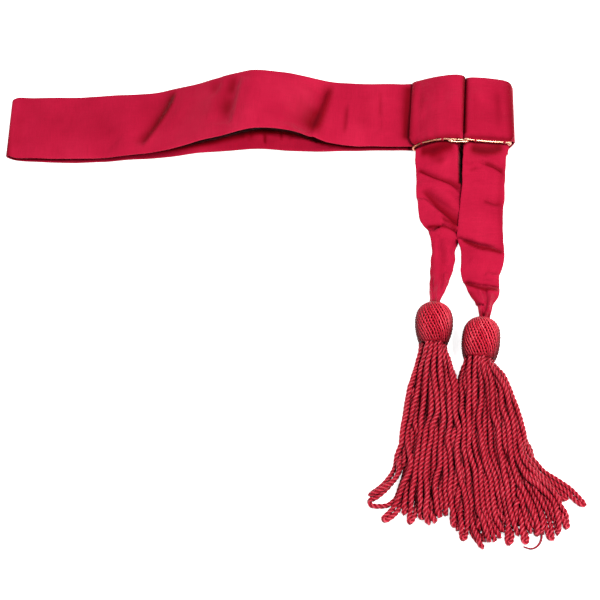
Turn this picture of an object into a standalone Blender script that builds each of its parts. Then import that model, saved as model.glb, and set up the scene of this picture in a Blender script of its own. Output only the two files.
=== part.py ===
"""Ceremonial waist sash, laid flat: a band folded in two, a two-part keeper,
wire rings, two tails and two tassels.

Frame: +X runs along the band towards the keeper, +Y away from the tassels,
+Z up. The origin is the centre of the bounding box, on the surface that the
sash lies on. The tables are in millimetres in a layout frame, whose zero is
near the middle of the laid-out sash; ORIGIN_X and ORIGIN_Y carry it over.
"""
import math
from collections import namedtuple

import bmesh
import bpy
from mathutils import Matrix, Vector

MM = 0.001

# ---------------------------------------------------------------- sizes, mm
BAND_WALL = 2.0          # two layers of ribbed silk over an interlining
KEEPER_WALL = 1.8        # doubled silk
TAIL_WALL = 1.2          # doubled silk, softer
WIRE_DIAMETER = 1.6      # gilt wire
RING_HALF = 2.8          # half of a ring's short side, wire centre to centre
LINK_HALF = 2.1
BEND_RADIUS = 5.0        # right-hand bend of the band, centre of the wall
BACK_PANEL_Z = 3.35      # keeper's back panels, between the two stretches
TURN_DEPTH = 3.0         # how far the keeper stands past the band's far edge
HEM_LEG = 7.0            # a tail's turned-under end, behind its ring
HEAD_LENGTH = 42.0
HEAD_RADIUS = 17.3
HEAD_TILT = 12.0         # degrees, neck end up
ORIGIN_X = -19.5         # layout position of the part's origin
ORIGIN_Y = -6.8

BAND_ACROSS = 6
TAIL_ACROSS = 6
FOLD_STEPS = 6

# ------------------------------------------------------------------ tables
# The upper stretch, left fold to right bend: near and far edge of the wall's
# middle surface.
Edge2 = namedtuple("Edge2", "near_x near_y near_z far_x far_y far_z")
UPPER = [Edge2(*r) for r in (
    (-278.7, 155.5,  5.4, -276.6, 225.0,  3.35),
    (-250.0, 153.8,  6.2, -250.0, 223.8,  4.0),
    (-210.0, 152.6,  8.6, -210.0, 222.4,  5.4),
    (-172.0, 154.3,  9.4, -172.0, 224.2,  7.2),
    (-139.0, 156.5, 13.6, -139.0, 226.4,  8.8),
    (-112.0, 158.6, 22.7, -112.0, 228.0, 13.2),
    ( -86.0, 160.8, 31.6,  -86.0, 230.4, 22.6),
    ( -62.0, 162.6, 40.4,  -62.0, 232.4, 33.4),
    ( -43.0, 163.8, 43.0,  -43.0, 233.6, 37.0),
    ( -20.0, 164.4, 39.6,  -20.0, 234.0, 32.8),
    (   0.0, 164.5, 32.0,    0.0, 234.2, 26.0),
    (  17.0, 164.5, 19.2,   17.0, 234.5, 18.2),
    (  30.0, 164.7, 12.0,   30.0, 234.7, 13.4),
    (  55.0, 165.1, 10.4,   55.0, 235.1, 10.8),
    (  90.0, 165.8,  9.0,   90.0, 235.8,  9.2),
    ( 106.0, 166.0,  8.6,  106.0, 236.0,  8.8),
    ( 150.0, 166.0, 10.0,  150.0, 236.0, 10.0),
    ( 180.0, 166.0, 11.0,  180.0, 236.0, 11.0),
    ( 200.5, 166.0, 11.0,  200.5, 236.0, 11.0),
)]

# The lower stretch: its edges on the surface it lies on.
Edge = namedtuple("Edge", "near_x near_y far_x far_y")
LOWER = [Edge(*r) for r in (
    (-278.4, 155.5, -276.3, 225.0),
    (-255.0, 153.2, -255.0, 223.2),
    (-210.0, 152.2, -210.0, 222.2),
    (-144.0, 156.2, -144.0, 226.2),
    ( -96.0, 161.2,  -96.0, 231.0),
    ( -69.0, 164.4,  -69.0, 233.0),
    ( -42.0, 166.2,  -42.0, 234.4),
    ( -15.0, 165.4,  -15.0, 234.6),
    (  18.0, 164.2,   18.0, 234.2),
    (  52.0, 165.4,   52.0, 235.2),
    ( 106.0, 166.0,  106.0, 236.0),
    ( 200.2, 166.0,  200.2, 236.0),
)]

# The keeper's two straps, slit side last (left) and first (right): front hem,
# front panel where it turns over the band's far edge, and back panel.
Strap = namedtuple("Strap", "hem_x hem_y hem_z far_x far_z back_x")
STRAP_LEFT = [Strap(*r) for r in (
    (105.8, 163.0, 10.9, 109.0, 11.2, 108.0),
    (112.5, 163.3, 12.9, 115.8, 12.6, 114.5),
    (121.0, 163.8, 16.2, 125.0, 17.0, 122.0),
    (131.0, 164.4, 20.4, 136.5, 20.2, 132.0),
    (141.0, 165.2, 24.2, 147.0, 22.2, 142.0),
    (148.5, 165.5, 24.6, 154.0, 22.8, 149.0),
    (155.0, 165.5, 23.2, 158.6, 21.4, 154.5),
)]
STRAP_RIGHT = [Strap(*r) for r in (
    (158.0, 165.5, 22.2, 161.4, 18.4, 158.0),
    (166.0, 165.5, 20.8, 170.0, 18.0, 165.0),
    (176.0, 165.5, 18.6, 180.0, 16.8, 174.0),
    (188.0, 165.4, 16.4, 190.0, 15.0, 183.0),
    (198.0, 165.2, 14.4, 199.0, 13.6, 191.0),
    (204.2, 164.8, 12.9, 204.3, 12.8, 197.0),
)]
TURN_Y = 235.5

# Each ring's long centre line, start and end.
RingLine = namedtuple("RingLine", "x0 y0 z0 x1 y1 z1")
RING_LEFT = RingLine(107.6, 160.7, 9.5, 147.4, 163.0, 23.2)
RING_RIGHT = RingLine(158.6, 163.0, 19.6, 204.0, 162.4, 10.4)
LINK = RingLine(145.1, 162.9, 22.5, 162.6, 162.9, 18.8)

# The tails, keeper to tassel: the two edges of the wall's middle surface, and
# how far the middle stands above the straight line between them.
Tail = namedtuple("Tail", "left_x left_y left_z right_x right_y right_z lift")
TAIL_LEFT = [Tail(*r) for r in (
    (110.9, 153.5, 6.6, 151.3, 154.2, 16.0, 0.6),
    (111.5, 143.9, 3.0, 152.1, 143.2, 11.5, 1.0),
    (111.4, 131.6, 0.9, 152.8, 131.4,  6.4, 1.2),
    (111.3, 116.1, 0.8, 152.4, 117.0,  2.0, 2.4),
    (112.4, 100.4, 0.8, 152.4, 100.4,  0.8, 0.0),
    (114.5,  86.0, 0.8, 152.0,  82.6,  0.8, 1.8),
    (121.6,  72.7, 0.8, 149.6,  66.0,  0.8, 2.6),
    (124.6,  57.2, 0.8, 146.4,  53.9,  0.8, 1.4),
    (123.6,  40.8, 0.8, 145.2,  40.8,  0.8, 1.8),
    (122.8,  27.3, 1.4, 141.8,  27.3,  1.4, 2.0),
    (122.2,  14.4, 5.0, 137.8,  14.4,  5.0, 1.8),
    (121.5,   0.9, 11.5, 133.8,   0.9, 11.5, 1.4),
    (120.7, -12.2, 20.0, 129.6, -12.2, 20.0, 0.6),
)]
TAIL_RIGHT = [Tail(*r) for r in (
    (156.2, 153.5, 13.6, 197.0, 154.3,  7.0, 0.6),
    (155.5, 141.9, 10.2, 196.1, 142.8,  3.2, 1.0),
    (155.0, 127.9,  7.2, 195.3, 130.3,  1.2, 1.6),
    (153.8, 111.5,  4.9, 194.3, 113.8,  0.8, 1.4),
    (151.4,  94.6,  3.4, 192.4,  96.0,  0.8, 1.0),
    (150.0,  77.0,  3.2, 191.3,  78.2,  0.8, 1.2),
    (148.6,  61.7,  3.0, 191.2,  64.9,  0.8, 2.6),
    (151.6,  53.9,  0.8, 192.2,  51.7,  0.8, 0.4),
    (152.2,  40.8,  0.8, 191.2,  40.8,  0.8, 2.0),
    (151.8,  25.3,  1.0, 186.8,  25.3,  1.0, 1.0),
    (155.1,  12.8,  4.0, 186.4,  12.8,  4.0, 2.4),
    (159.1,   0.8,  8.0, 184.8,   0.8,  8.0, 2.0),
    (163.5, -10.7, 13.0, 180.7, -10.7, 13.0, 1.6),
    (165.3, -20.5, 17.0, 177.9, -20.5, 17.0, 1.0),
    (166.4, -28.2, 20.4, 175.4, -28.2, 20.4, 0.6),
)]

# Each tassel head: the middle of its length, and how far its axis turns in
# plan, towards -X going down.
Head = namedtuple("Head", "x y turn")
HEAD_LEFT = Head(124.0, -34.2, 3.0)
HEAD_RIGHT = Head(167.2, -50.3, 6.0)
# Profile of a head: share of the length from the neck, share of the radius.
Turned = namedtuple("Turned", "along radius")
HEAD_PROFILE = [Turned(*r) for r in (
    (0.00, 0.29), (0.02, 0.42), (0.08, 0.62), (0.17, 0.79), (0.29, 0.92),
    (0.42, 0.99), (0.55, 1.00), (0.68, 0.97), (0.81, 0.90), (0.92, 0.82),
    (1.00, 0.75),
)]

# Reach of the cords, head to ends: left and right side, height.
Skirt = namedtuple("Skirt", "left_x left_y right_x right_y height")
SKIRT_LEFT = [Skirt(*r) for r in (
    (109.6,  -57.5, 134.0,  -57.5, 24.0),
    (107.0,  -68.0, 139.6,  -68.0, 23.0),
    (103.4,  -80.0, 143.6,  -80.0, 21.5),
    ( 97.2,  -98.0, 144.0,  -98.0, 19.0),
    ( 94.4, -118.0, 144.0, -118.0, 17.0),
    ( 90.6, -145.0, 143.9, -145.0, 15.0),
    ( 87.4, -170.0, 144.0, -170.0, 13.5),
    ( 76.0, -190.0, 146.0, -190.0, 12.5),
    ( 63.0, -208.0, 148.4, -208.0, 11.5),
    ( 72.0, -224.0, 151.0, -226.0, 11.0),
    ( 88.0, -233.0, 152.0, -241.0,  9.5),
)]
SKIRT_RIGHT = [Skirt(*r) for r in (
    (150.6,  -73.6, 177.0,  -73.6, 24.0),
    (147.4,  -82.0, 184.0,  -82.0, 23.5),
    (144.9,  -98.0, 191.6,  -98.0, 21.5),
    (144.9, -126.0, 201.6, -126.0, 18.5),
    (144.9, -150.0, 206.0, -150.0, 16.0),
    (144.9, -170.0, 213.0, -170.0, 14.5),
    (147.0, -190.0, 228.0, -190.0, 13.5),
    (149.4, -208.0, 243.0, -208.0, 12.5),
    (152.2, -226.0, 240.0, -226.0, 11.5),
    (153.4, -241.0, 234.0, -240.0, 10.5),
    (160.0, -253.0, 214.0, -250.0,  9.0),
)]

SILK = (0.55, 0.008, 0.045, 1.0)
SILK_DARK = (0.42, 0.005, 0.030, 1.0)
CORD = (0.46, 0.006, 0.030, 1.0)
GILT = (0.88, 0.58, 0.25, 1.0)


# --------------------------------------------------------------- functions
def catmull(a, b, c, d, t):
    """A smooth step between b and c of a row of numbers."""
    return tuple(
        0.5 * (2 * q + (r - p) * t + (2 * p - 5 * q + 4 * r - s) * t * t
               + (3 * q - p - 3 * r + s) * t * t * t)
        for p, q, r, s in zip(a, b, c, d))


def smooth(rows, steps):
    """The rows of a table with steps - 1 smooth rows between each two."""
    out = []
    for i in range(len(rows) - 1):
        a = rows[max(i - 1, 0)]
        d = rows[min(i + 2, len(rows) - 1)]
        for k in range(steps):
            out.append(catmull(a, rows[i], rows[i + 1], d, k / steps))
    out.append(tuple(rows[-1]))
    return out


def across(near, far, count, lift=0.0):
    """Points from near to far, with the middle raised by lift."""
    return [near.lerp(far, k / count)
            + Vector((0, 0, lift * math.sin(math.pi * k / count)))
            for k in range(count + 1)]


def place(obj, name, colour, rough, metal=0.0):
    """Name the object, give it its own material and put it in the part."""
    obj.name = name
    obj.data.name = name
    mat = bpy.data.materials.new(name)
    mat.use_nodes = True
    shader = mat.node_tree.nodes["Principled BSDF"]
    shader.inputs["Base Color"].default_value = colour
    shader.inputs["Roughness"].default_value = rough
    shader.inputs["Metallic"].default_value = metal
    obj.data.materials.append(mat)
    for c in list(obj.users_collection):
        c.objects.unlink(obj)
    PART.objects.link(obj)
    obj.parent = ORIGIN
    return obj


def sheet(name, lines, wall, colour):
    """Cloth: a grid warped onto lines of points, given its wall's thickness."""
    rows, cols = len(lines), len(lines[0])
    bm = bmesh.new()
    bmesh.ops.create_grid(bm, x_segments=cols - 1, y_segments=rows - 1, size=1)
    for v in bm.verts:
        i = round((v.co.y + 1) / 2 * (rows - 1))
        j = round((v.co.x + 1) / 2 * (cols - 1))
        v.co = lines[i][j] * MM
    mesh = bpy.data.meshes.new(name)
    bm.to_mesh(mesh)
    bm.free()
    mesh.shade_smooth()
    obj = place(bpy.data.objects.new(name, mesh), name, colour, 0.6)
    solid = obj.modifiers.new("Wall", "SOLIDIFY")
    solid.thickness = wall * MM
    solid.offset = 0.0
    solid.use_even_offset = True
    return obj


def solid_loft(name, sections, colour):
    """A closed solid through rings of points, with flat ends."""
    bm = bmesh.new()
    rings = [[bm.verts.new(p * MM) for p in s] for s in sections]
    n = len(rings[0])
    for a, b in zip(rings, rings[1:]):
        for k in range(n):
            bm.faces.new((a[k], a[(k + 1) % n], b[(k + 1) % n], b[k]))
    bm.faces.new(list(reversed(rings[0])))
    bm.faces.new(rings[-1])
    bmesh.ops.recalc_face_normals(bm, faces=bm.faces)
    mesh = bpy.data.meshes.new(name)
    bm.to_mesh(mesh)
    bm.free()
    mesh.shade_smooth()
    mesh.set_sharp_from_angle(angle=math.radians(40))
    return place(bpy.data.objects.new(name, mesh), name, colour, 0.7)


def wire(name, points):
    """A closed ring of round wire."""
    curve = bpy.data.curves.new(name, "CURVE")
    curve.dimensions = "3D"
    curve.bevel_depth = WIRE_DIAMETER / 2 * MM
    curve.bevel_resolution = 2
    spline = curve.splines.new("POLY")
    spline.points.add(len(points) - 1)
    for slot, p in zip(spline.points, points):
        slot.co = (*(p * MM), 1.0)
    spline.use_cyclic_u = True
    return place(bpy.data.objects.new(name, curve), name, GILT, 0.25, 1.0)


def band_upper():
    """The upper stretch with the left fold and the right bend on it."""
    low = BAND_WALL / 2
    lines = []
    first, last = UPPER[0], UPPER[-1]
    for k in range(FOLD_STEPS + 1):
        turn = math.pi * (1 - k / FOLD_STEPS)
        ends = []
        for x, y, z in ((first.near_x, first.near_y, first.near_z),
                        (first.far_x, first.far_y, first.far_z)):
            r = (z - low) / 2
            ends.append(Vector((x - r * math.sin(turn), y,
                                low + r + r * math.cos(turn))))
        lines.append(across(*ends, BAND_ACROSS))
    for r in smooth(UPPER, 3)[1:]:
        r = Edge2(*r)
        lines.append(across(Vector(r[0:3]), Vector(r[3:6]), BAND_ACROSS))
    for k in range(1, FOLD_STEPS + 3):
        turn = math.pi * k / (FOLD_STEPS + 2)
        z = low + BEND_RADIUS * (1 + math.cos(turn))
        x = last.near_x + BEND_RADIUS * math.sin(turn)
        lines.append(across(Vector((x, last.near_y, z)),
                            Vector((x, last.far_y, z)), BAND_ACROSS))
    return sheet("band_upper", lines, BAND_WALL, SILK)


def band_lower():
    """The lower stretch, flat on the surface."""
    z = BAND_WALL / 2
    lines = [across(Vector((r[0], r[1], z)), Vector((r[2], r[3], z)),
                    BAND_ACROSS) for r in smooth(LOWER, 3)]
    return sheet("band_lower", lines, BAND_WALL, SILK_DARK)


def keeper_strap(name, rows):
    """A strap of the keeper: hem, front, turn over the far edge, and back."""
    columns = []
    for r in smooth(rows, 2):
        r = Strap(*r)
        hem = Vector((r.hem_x, r.hem_y, r.hem_z))
        far = Vector((r.far_x, TURN_Y, r.far_z))
        half = (r.far_z - BACK_PANEL_Z) / 2
        line = [hem.lerp(far, k / 6) for k in range(7)]
        for k in range(1, 8):
            turn = math.pi * k / 8
            x = r.far_x + (r.back_x - r.far_x) * k / 8
            line.append(Vector((x, TURN_Y + TURN_DEPTH * math.sin(turn),
                                BACK_PANEL_Z + half * (1 + math.cos(turn)))))
        start = Vector((r.back_x, TURN_Y, BACK_PANEL_Z))
        end = Vector((r.back_x, 169.0, BACK_PANEL_Z))
        line += [start.lerp(end, k / 4) for k in range(5)]
        columns.append(line)
    lines = [list(line) for line in zip(*columns)]
    return sheet(name, lines, KEEPER_WALL, SILK)


def ring_frame(line):
    """A ring's two ends, its long direction and its short one, upwards."""
    a = Vector(line[0:3])
    b = Vector(line[3:6])
    along = (b - a).normalized()
    up = Vector((0.0, 0.5, 0.866))
    up = (up - along * up.dot(along)).normalized()
    return a, b, along, up


def stadium(a, b, along, up, half, steps=8):
    """A long ring with round ends about the line from a to b."""
    points = []
    for centre, sign in ((b, 1.0), (a, -1.0)):
        inner = centre - along * sign * half
        for k in range(steps + 1):
            turn = math.pi * (0.5 - k / steps)
            points.append(inner + up * half * math.sin(turn) * sign
                          + along * sign * half * math.cos(turn))
    return points


def tail(name, rows, ring, left_x, right_x):
    """A tail: turned under at its ring, over the lower bar, and down."""
    a, b, along, up = ring_frame(ring)
    reach = (WIRE_DIAMETER + TAIL_WALL) / 2 + 0.3
    down = Vector((0.0, -0.88, -0.47))
    down = (down - along * down.dot(along)).normalized()
    out = along.cross(down)
    if out.z < 0:
        out = -out
    bar_a, bar_b = a - up * RING_HALF, b - up * RING_HALF
    bar = []
    for k in range(TAIL_ACROSS + 1):
        x = left_x + (right_x - left_x) * k / TAIL_ACROSS
        bar.append(bar_a.lerp(bar_b, (x - bar_a.x) / (bar_b.x - bar_a.x)))
    lines = [[p - out * reach + down * HEM_LEG for p in bar],
             [p - out * reach + down * HEM_LEG / 2 for p in bar]]
    for k in range(FOLD_STEPS + 1):
        turn = math.pi * (1 - k / FOLD_STEPS)
        lines.append([p + out * reach * math.cos(turn)
                      - down * reach * math.sin(turn) for p in bar])
    lines.append([p + out * reach + down * 2.0 for p in bar])
    for r in smooth(rows, 3):
        r = Tail(*r)
        lines.append(across(Vector(r[0:3]), Vector(r[3:6]), TAIL_ACROSS,
                            r.lift))
    return sheet(name, lines, TAIL_WALL, SILK)


def head(name, at):
    """A tassel's turned head, resting on the surface, neck end raised."""
    mesh = bpy.data.meshes.new(name)
    bm = bmesh.new()
    points = [(0.0, HEAD_PROFILE[0].along)]
    points += [(p.radius * HEAD_RADIUS, p.along) for p in HEAD_PROFILE]
    points += [(0.0, HEAD_PROFILE[-1].along)]
    verts = [bm.verts.new(Vector((r, 0, (0.5 - s) * HEAD_LENGTH)) * MM)
             for r, s in points]
    for p, q in zip(verts, verts[1:]):
        bm.edges.new((p, q))
    bm.to_mesh(mesh)
    bm.free()
    obj = place(bpy.data.objects.new(name, mesh), name, CORD, 0.75)
    screw = obj.modifiers.new("Turn", "SCREW")
    screw.axis = "Z"
    screw.steps = screw.render_steps = 28
    screw.use_merge_vertices = True
    screw.merge_threshold = 0.00005
    screw.use_smooth_shade = True
    turn = (Matrix.Rotation(math.radians(-at.turn), 3, "Z")
            @ Matrix.Rotation(-math.radians(90 - HEAD_TILT), 3, "X"))
    lowest = min((turn @ Vector((p.radius * HEAD_RADIUS * math.cos(a),
                                 p.radius * HEAD_RADIUS * math.sin(a),
                                 (0.5 - p.along) * HEAD_LENGTH))).z
                 for p in HEAD_PROFILE
                 for a in (math.radians(k * 2) for k in range(180)))
    obj.rotation_euler = turn.to_euler()
    obj.location = Vector((at.x, at.y, 0.05 - lowest)) * MM
    return obj


def skirt(name, rows):
    """The reach of a tassel's cords: flat below, rounded above."""
    sections = []
    for r in smooth(rows, 2):
        r = Skirt(*r)
        left = Vector((r.left_x, r.left_y, 0.0))
        right = Vector((r.right_x, r.right_y, 0.0))
        ring = []
        for k in range(11):
            turn = math.pi * k / 10
            share = (1 - math.cos(turn)) / 2
            rise = math.sin(turn) ** 0.55 if 0 < k < 10 else 0.0
            p = left.lerp(right, share)
            ring.append(p + Vector((0, 0, r.height * rise)))
        sections.append(ring)
    return solid_loft(name, sections, CORD)


# -------------------------------------------------------------------- model
for obj in list(bpy.data.objects):
    bpy.data.objects.remove(obj, do_unlink=True)

PART = bpy.data.collections.new("waist_sash")
bpy.context.scene.collection.children.link(PART)
ORIGIN = bpy.data.objects.new("sash_origin", None)
ORIGIN.location = (-ORIGIN_X * MM, -ORIGIN_Y * MM, 0.0)
PART.objects.link(ORIGIN)

band_lower()
band_upper()
keeper_strap("strap_left", STRAP_LEFT)
keeper_strap("strap_right", STRAP_RIGHT)
tail("tail_left", TAIL_LEFT, RING_LEFT, 110.6, 143.9)
tail("tail_right", TAIL_RIGHT, RING_RIGHT, 163.8, 199.4)

wire("ring_left", stadium(*ring_frame(RING_LEFT), RING_HALF))
wire("ring_right", stadium(*ring_frame(RING_RIGHT), RING_HALF))
link_a, link_b = Vector(LINK[0:3]), Vector(LINK[3:6])
run = (link_b - link_a).normalized()
side = Vector((0.0, 0.866, -0.5))
side = (side - run * side.dot(run)).normalized()
wire("link", stadium(link_a, link_b, run, side, LINK_HALF))

head("head_left", HEAD_LEFT)
head("head_right", HEAD_RIGHT)
skirt("skirt_left", SKIRT_LEFT)
skirt("skirt_right", SKIRT_RIGHT)
bpy.context.view_layer.update()
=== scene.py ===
"""Looks of the ceremonial waist sash: ribbed silk cloth, netted tassel heads,
looped three-ply cords and gilt wire, laid flat on a pale floor.

Tables are in millimetres in the sash's layout frame, whose zero is near the
middle of the laid-out sash; SHIFT carries it over to the row frame.
"""

import math

import bpy
import numpy as np
from mathutils import Matrix, Vector
from mathutils.kdtree import KDTree


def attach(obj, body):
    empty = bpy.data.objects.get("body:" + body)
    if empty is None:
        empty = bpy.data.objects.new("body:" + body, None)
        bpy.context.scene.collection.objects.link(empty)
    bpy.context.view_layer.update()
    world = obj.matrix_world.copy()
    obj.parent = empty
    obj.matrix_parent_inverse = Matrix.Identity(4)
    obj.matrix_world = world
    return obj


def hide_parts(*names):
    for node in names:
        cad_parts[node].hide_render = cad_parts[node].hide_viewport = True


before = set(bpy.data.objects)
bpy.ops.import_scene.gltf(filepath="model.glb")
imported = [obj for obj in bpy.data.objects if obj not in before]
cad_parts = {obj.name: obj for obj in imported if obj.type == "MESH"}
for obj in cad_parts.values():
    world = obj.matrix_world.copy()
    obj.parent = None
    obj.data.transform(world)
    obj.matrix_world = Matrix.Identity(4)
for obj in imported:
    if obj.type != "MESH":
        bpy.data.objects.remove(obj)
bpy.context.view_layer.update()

MM = 0.001
SHIFT = np.array([19.5, 6.8, 0.0])

# ------------------------------------------------------------------ sizes, mm
BAND_WALL = 2.0
KEEPER_WALL = 1.8
TAIL_WALL = 1.2
WIRE = 1.6
RING_HALF = 2.8
LINK_HALF = 2.1
BEND_RADIUS = 5.0
BACK_PANEL_Z = 3.35
TURN_Y = 235.5
TURN_DEPTH = 3.0
HEM_LEG = 7.0
HEAD_LENGTH = 42.0
HEAD_RADIUS = 17.3
HEAD_TILT = 12.0
CORD = 5.1               # diameter of a tassel cord
LEAD = 13.6              # length of one full turn of its three plies
ELEVATION = math.radians(60.0)   # the picture's camera
DISTANCE = 3.0
NET_CELLS = 34           # threads round a head, each way
NET_ROW = 2.9            # a row of the net along the head

# -------------------------------------------------------------------- tables
# Upper stretch: near edge x y z, far edge x y z, middle of the wall.
UPPER = [
    (-278.7, 155.5,  5.4, -276.6, 223.8,  3.2),
    (-250.0, 153.8,  6.2, -250.0, 223.2,  3.8),
    (-210.0, 152.6,  8.6, -210.0, 222.4,  5.4),
    (-172.0, 154.3,  9.4, -172.0, 224.2,  7.2),
    (-139.0, 156.5, 13.6, -139.0, 226.4,  8.8),
    (-112.0, 158.6, 22.7, -112.0, 228.0, 14.8),
    ( -86.0, 160.8, 31.6,  -86.0, 230.4, 23.6),
    ( -62.0, 162.6, 40.4,  -62.0, 232.4, 33.0),
    ( -44.0, 165.0, 43.0,  -44.0, 233.6, 37.8),
    ( -22.0, 167.0, 39.8,  -22.0, 234.0, 32.8),
    (   0.0, 167.3, 32.0,    0.0, 234.2, 26.0),
    (  17.0, 168.2, 19.4,   17.0, 234.5, 19.6),
    (  30.0, 167.8, 12.0,   31.0, 234.7, 14.6),
    (  55.0, 165.1, 10.4,   55.0, 235.1, 10.8),
    (  90.0, 165.8,  9.0,   90.0, 235.8,  9.2),
    ( 106.0, 166.0,  8.6,  106.0, 236.0,  8.8),
    ( 150.0, 166.0, 10.0,  150.0, 236.0, 10.0),
    ( 180.0, 166.0, 11.0,  180.0, 236.0, 11.0),
    ( 200.5, 166.0, 11.0,  200.5, 236.0, 11.0),
]
# Lower stretch: near edge x y, far edge x y, on the surface.
LOWER = [
    (-278.4, 155.5, -276.3, 223.8),
    (-255.0, 153.2, -255.0, 223.2),
    (-210.0, 152.2, -210.0, 222.2),
    (-144.0, 156.2, -144.0, 226.2),
    ( -96.0, 161.2,  -96.0, 231.0),
    ( -69.0, 164.4,  -69.0, 233.0),
    ( -42.0, 166.2,  -42.0, 234.4),
    ( -15.0, 165.4,  -15.0, 234.6),
    (  18.0, 164.2,   18.0, 234.2),
    (  52.0, 165.4,   52.0, 235.2),
    ( 106.0, 166.0,  106.0, 236.0),
    ( 200.2, 166.0,  200.2, 236.0),
]
# Keeper straps: hem x y z, far edge x y z, back x; left edge to right edge.
STRAP_LEFT = [
    (105.0, 171.8, 13.0, 109.6, 233.0, 12.4, 108.5),
    (106.6, 167.1, 13.6, 111.2, 234.0, 13.0, 109.5),
    (109.9, 163.9, 13.6, 113.6, 234.8, 13.6, 112.0),
    (113.4, 165.0, 14.8, 117.0, 235.5, 14.0, 115.5),
    (117.6, 165.3, 17.6, 121.5, 235.5, 16.4, 119.5),
    (127.0, 165.4, 21.4, 131.0, 235.5, 20.4, 127.5),
    (134.5, 164.9, 24.0, 139.0, 235.5, 22.8, 135.0),
    (141.1, 164.5, 25.2, 146.0, 235.5, 24.4, 141.5),
    (147.3, 164.4, 25.2, 152.0, 235.5, 24.7, 147.5),
    (152.0, 164.3, 24.6, 156.6, 235.5, 23.6, 151.5),
    (154.6, 164.8, 23.4, 158.8, 235.3, 22.0, 153.5),
]
STRAP_RIGHT = [
    (155.8, 165.4, 18.6, 159.6, 235.0, 16.4, 156.5),
    (158.4, 165.1, 21.0, 162.0, 235.4, 18.6, 159.0),
    (161.6, 165.1, 21.7, 165.2, 235.5, 19.6, 161.5),
    (167.2, 165.2, 20.9, 171.0, 235.5, 19.6, 166.0),
    (175.8, 165.5, 18.8, 179.8, 235.5, 18.6, 174.0),
    (188.4, 165.9, 16.4, 189.8, 235.5, 16.6, 183.0),
    (197.1, 166.3, 15.0, 197.6, 235.5, 14.4, 190.0),
    (202.0, 168.2, 13.8, 202.4, 234.4, 12.8, 194.5),
    (204.3, 172.6, 13.0, 204.2, 232.4, 11.8, 196.5),
]
# Wire rings: upper bar and lower bar, left to right; the link the same.
RING_LEFT = (
    [(110.3, 162.7, 12.5), (113.4, 164.2, 13.8), (117.2, 165.0, 15.8), (127.0, 164.6, 20.2),
     (134.6, 164.1, 23.0), (140.7, 163.6, 24.2), (143.4, 163.3, 24.2)],
    [(111.9, 161.3, 7.6), (118.7, 162.6, 10.6), (127.7, 163.3, 14.8), (134.7, 163.4, 17.6),
     (141.4, 163.0, 18.9), (143.6, 163.0, 19.3)])
RING_RIGHT = (
    [(158.6, 164.9, 22.0), (162.3, 164.7, 21.3), (168.1, 164.4, 20.2), (181.6, 164.9, 17.6),
     (194.2, 165.6, 15.2), (199.6, 166.3, 14.0)],
    [(159.0, 164.0, 17.2), (168.3, 163.6, 15.2), (181.8, 164.3, 12.6), (194.5, 165.4, 10.2),
     (199.4, 166.4, 9.6)])
LINK = (
    [(143.4, 162.0, 23.4), (149.8, 161.8, 22.1), (158.6, 162.6, 21.1)],
    [(143.4, 165.6, 21.6), (149.8, 165.4, 20.5), (158.6, 166.0, 19.2)])
# Folds of the tails over the lower bars, left to right, middle of the fold.
FOLD_LEFT = [(111.3, 161.0, 7.2), (118.7, 162.4, 10.4), (127.7, 163.2, 14.6), (134.7, 163.3, 17.4),
             (141.4, 162.8, 18.4), (146.4, 161.8, 17.6), (150.6, 160.6, 16.2)]
FOLD_RIGHT = [(156.3, 161.2, 14.6), (160.4, 163.2, 16.2), (168.3, 163.5, 15.0), (181.8, 164.2, 12.4),
              (194.5, 164.9, 10.0), (199.2, 164.4, 8.6)]
# Tails: left x y z, right x y z, rise of the middle.
TAIL_LEFT = [
    (110.9, 153.5, 5.6, 150.3, 154.2, 14.6, 0.6),
    (111.5, 143.9, 2.6, 150.2, 143.2, 10.2, 1.0),
    (111.4, 131.6, 0.9, 151.8, 131.4,  5.4, 1.4),
    (111.3, 116.1, 0.8, 156.4, 117.0,  1.2, 3.0),
    (112.4, 100.4, 0.8, 156.4, 100.4,  0.8, 2.6),
    (114.5,  86.0, 0.8, 154.4,  82.6,  0.8, 3.0),
    (121.6,  72.7, 0.8, 150.6,  66.0,  0.8, 3.0),
    (124.6,  57.2, 0.8, 146.4,  53.9,  0.8, 2.2),
    (123.6,  40.8, 0.8, 145.2,  40.8,  0.8, 2.2),
    (122.8,  27.3, 1.4, 141.8,  27.3,  1.4, 2.4),
    (122.2,  14.4, 5.0, 137.8,  14.4,  5.0, 2.2),
    (121.5,   0.9, 11.5, 133.8,   0.9, 11.5, 1.8),
    (120.7, -12.2, 18.6, 129.6, -12.2, 18.6, 1.2),
    (120.9, -17.5, 20.6, 129.0, -17.5, 20.6, 0.8),
    (121.2, -22.0, 21.8, 128.6, -22.0, 21.8, 0.6),
]
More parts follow.
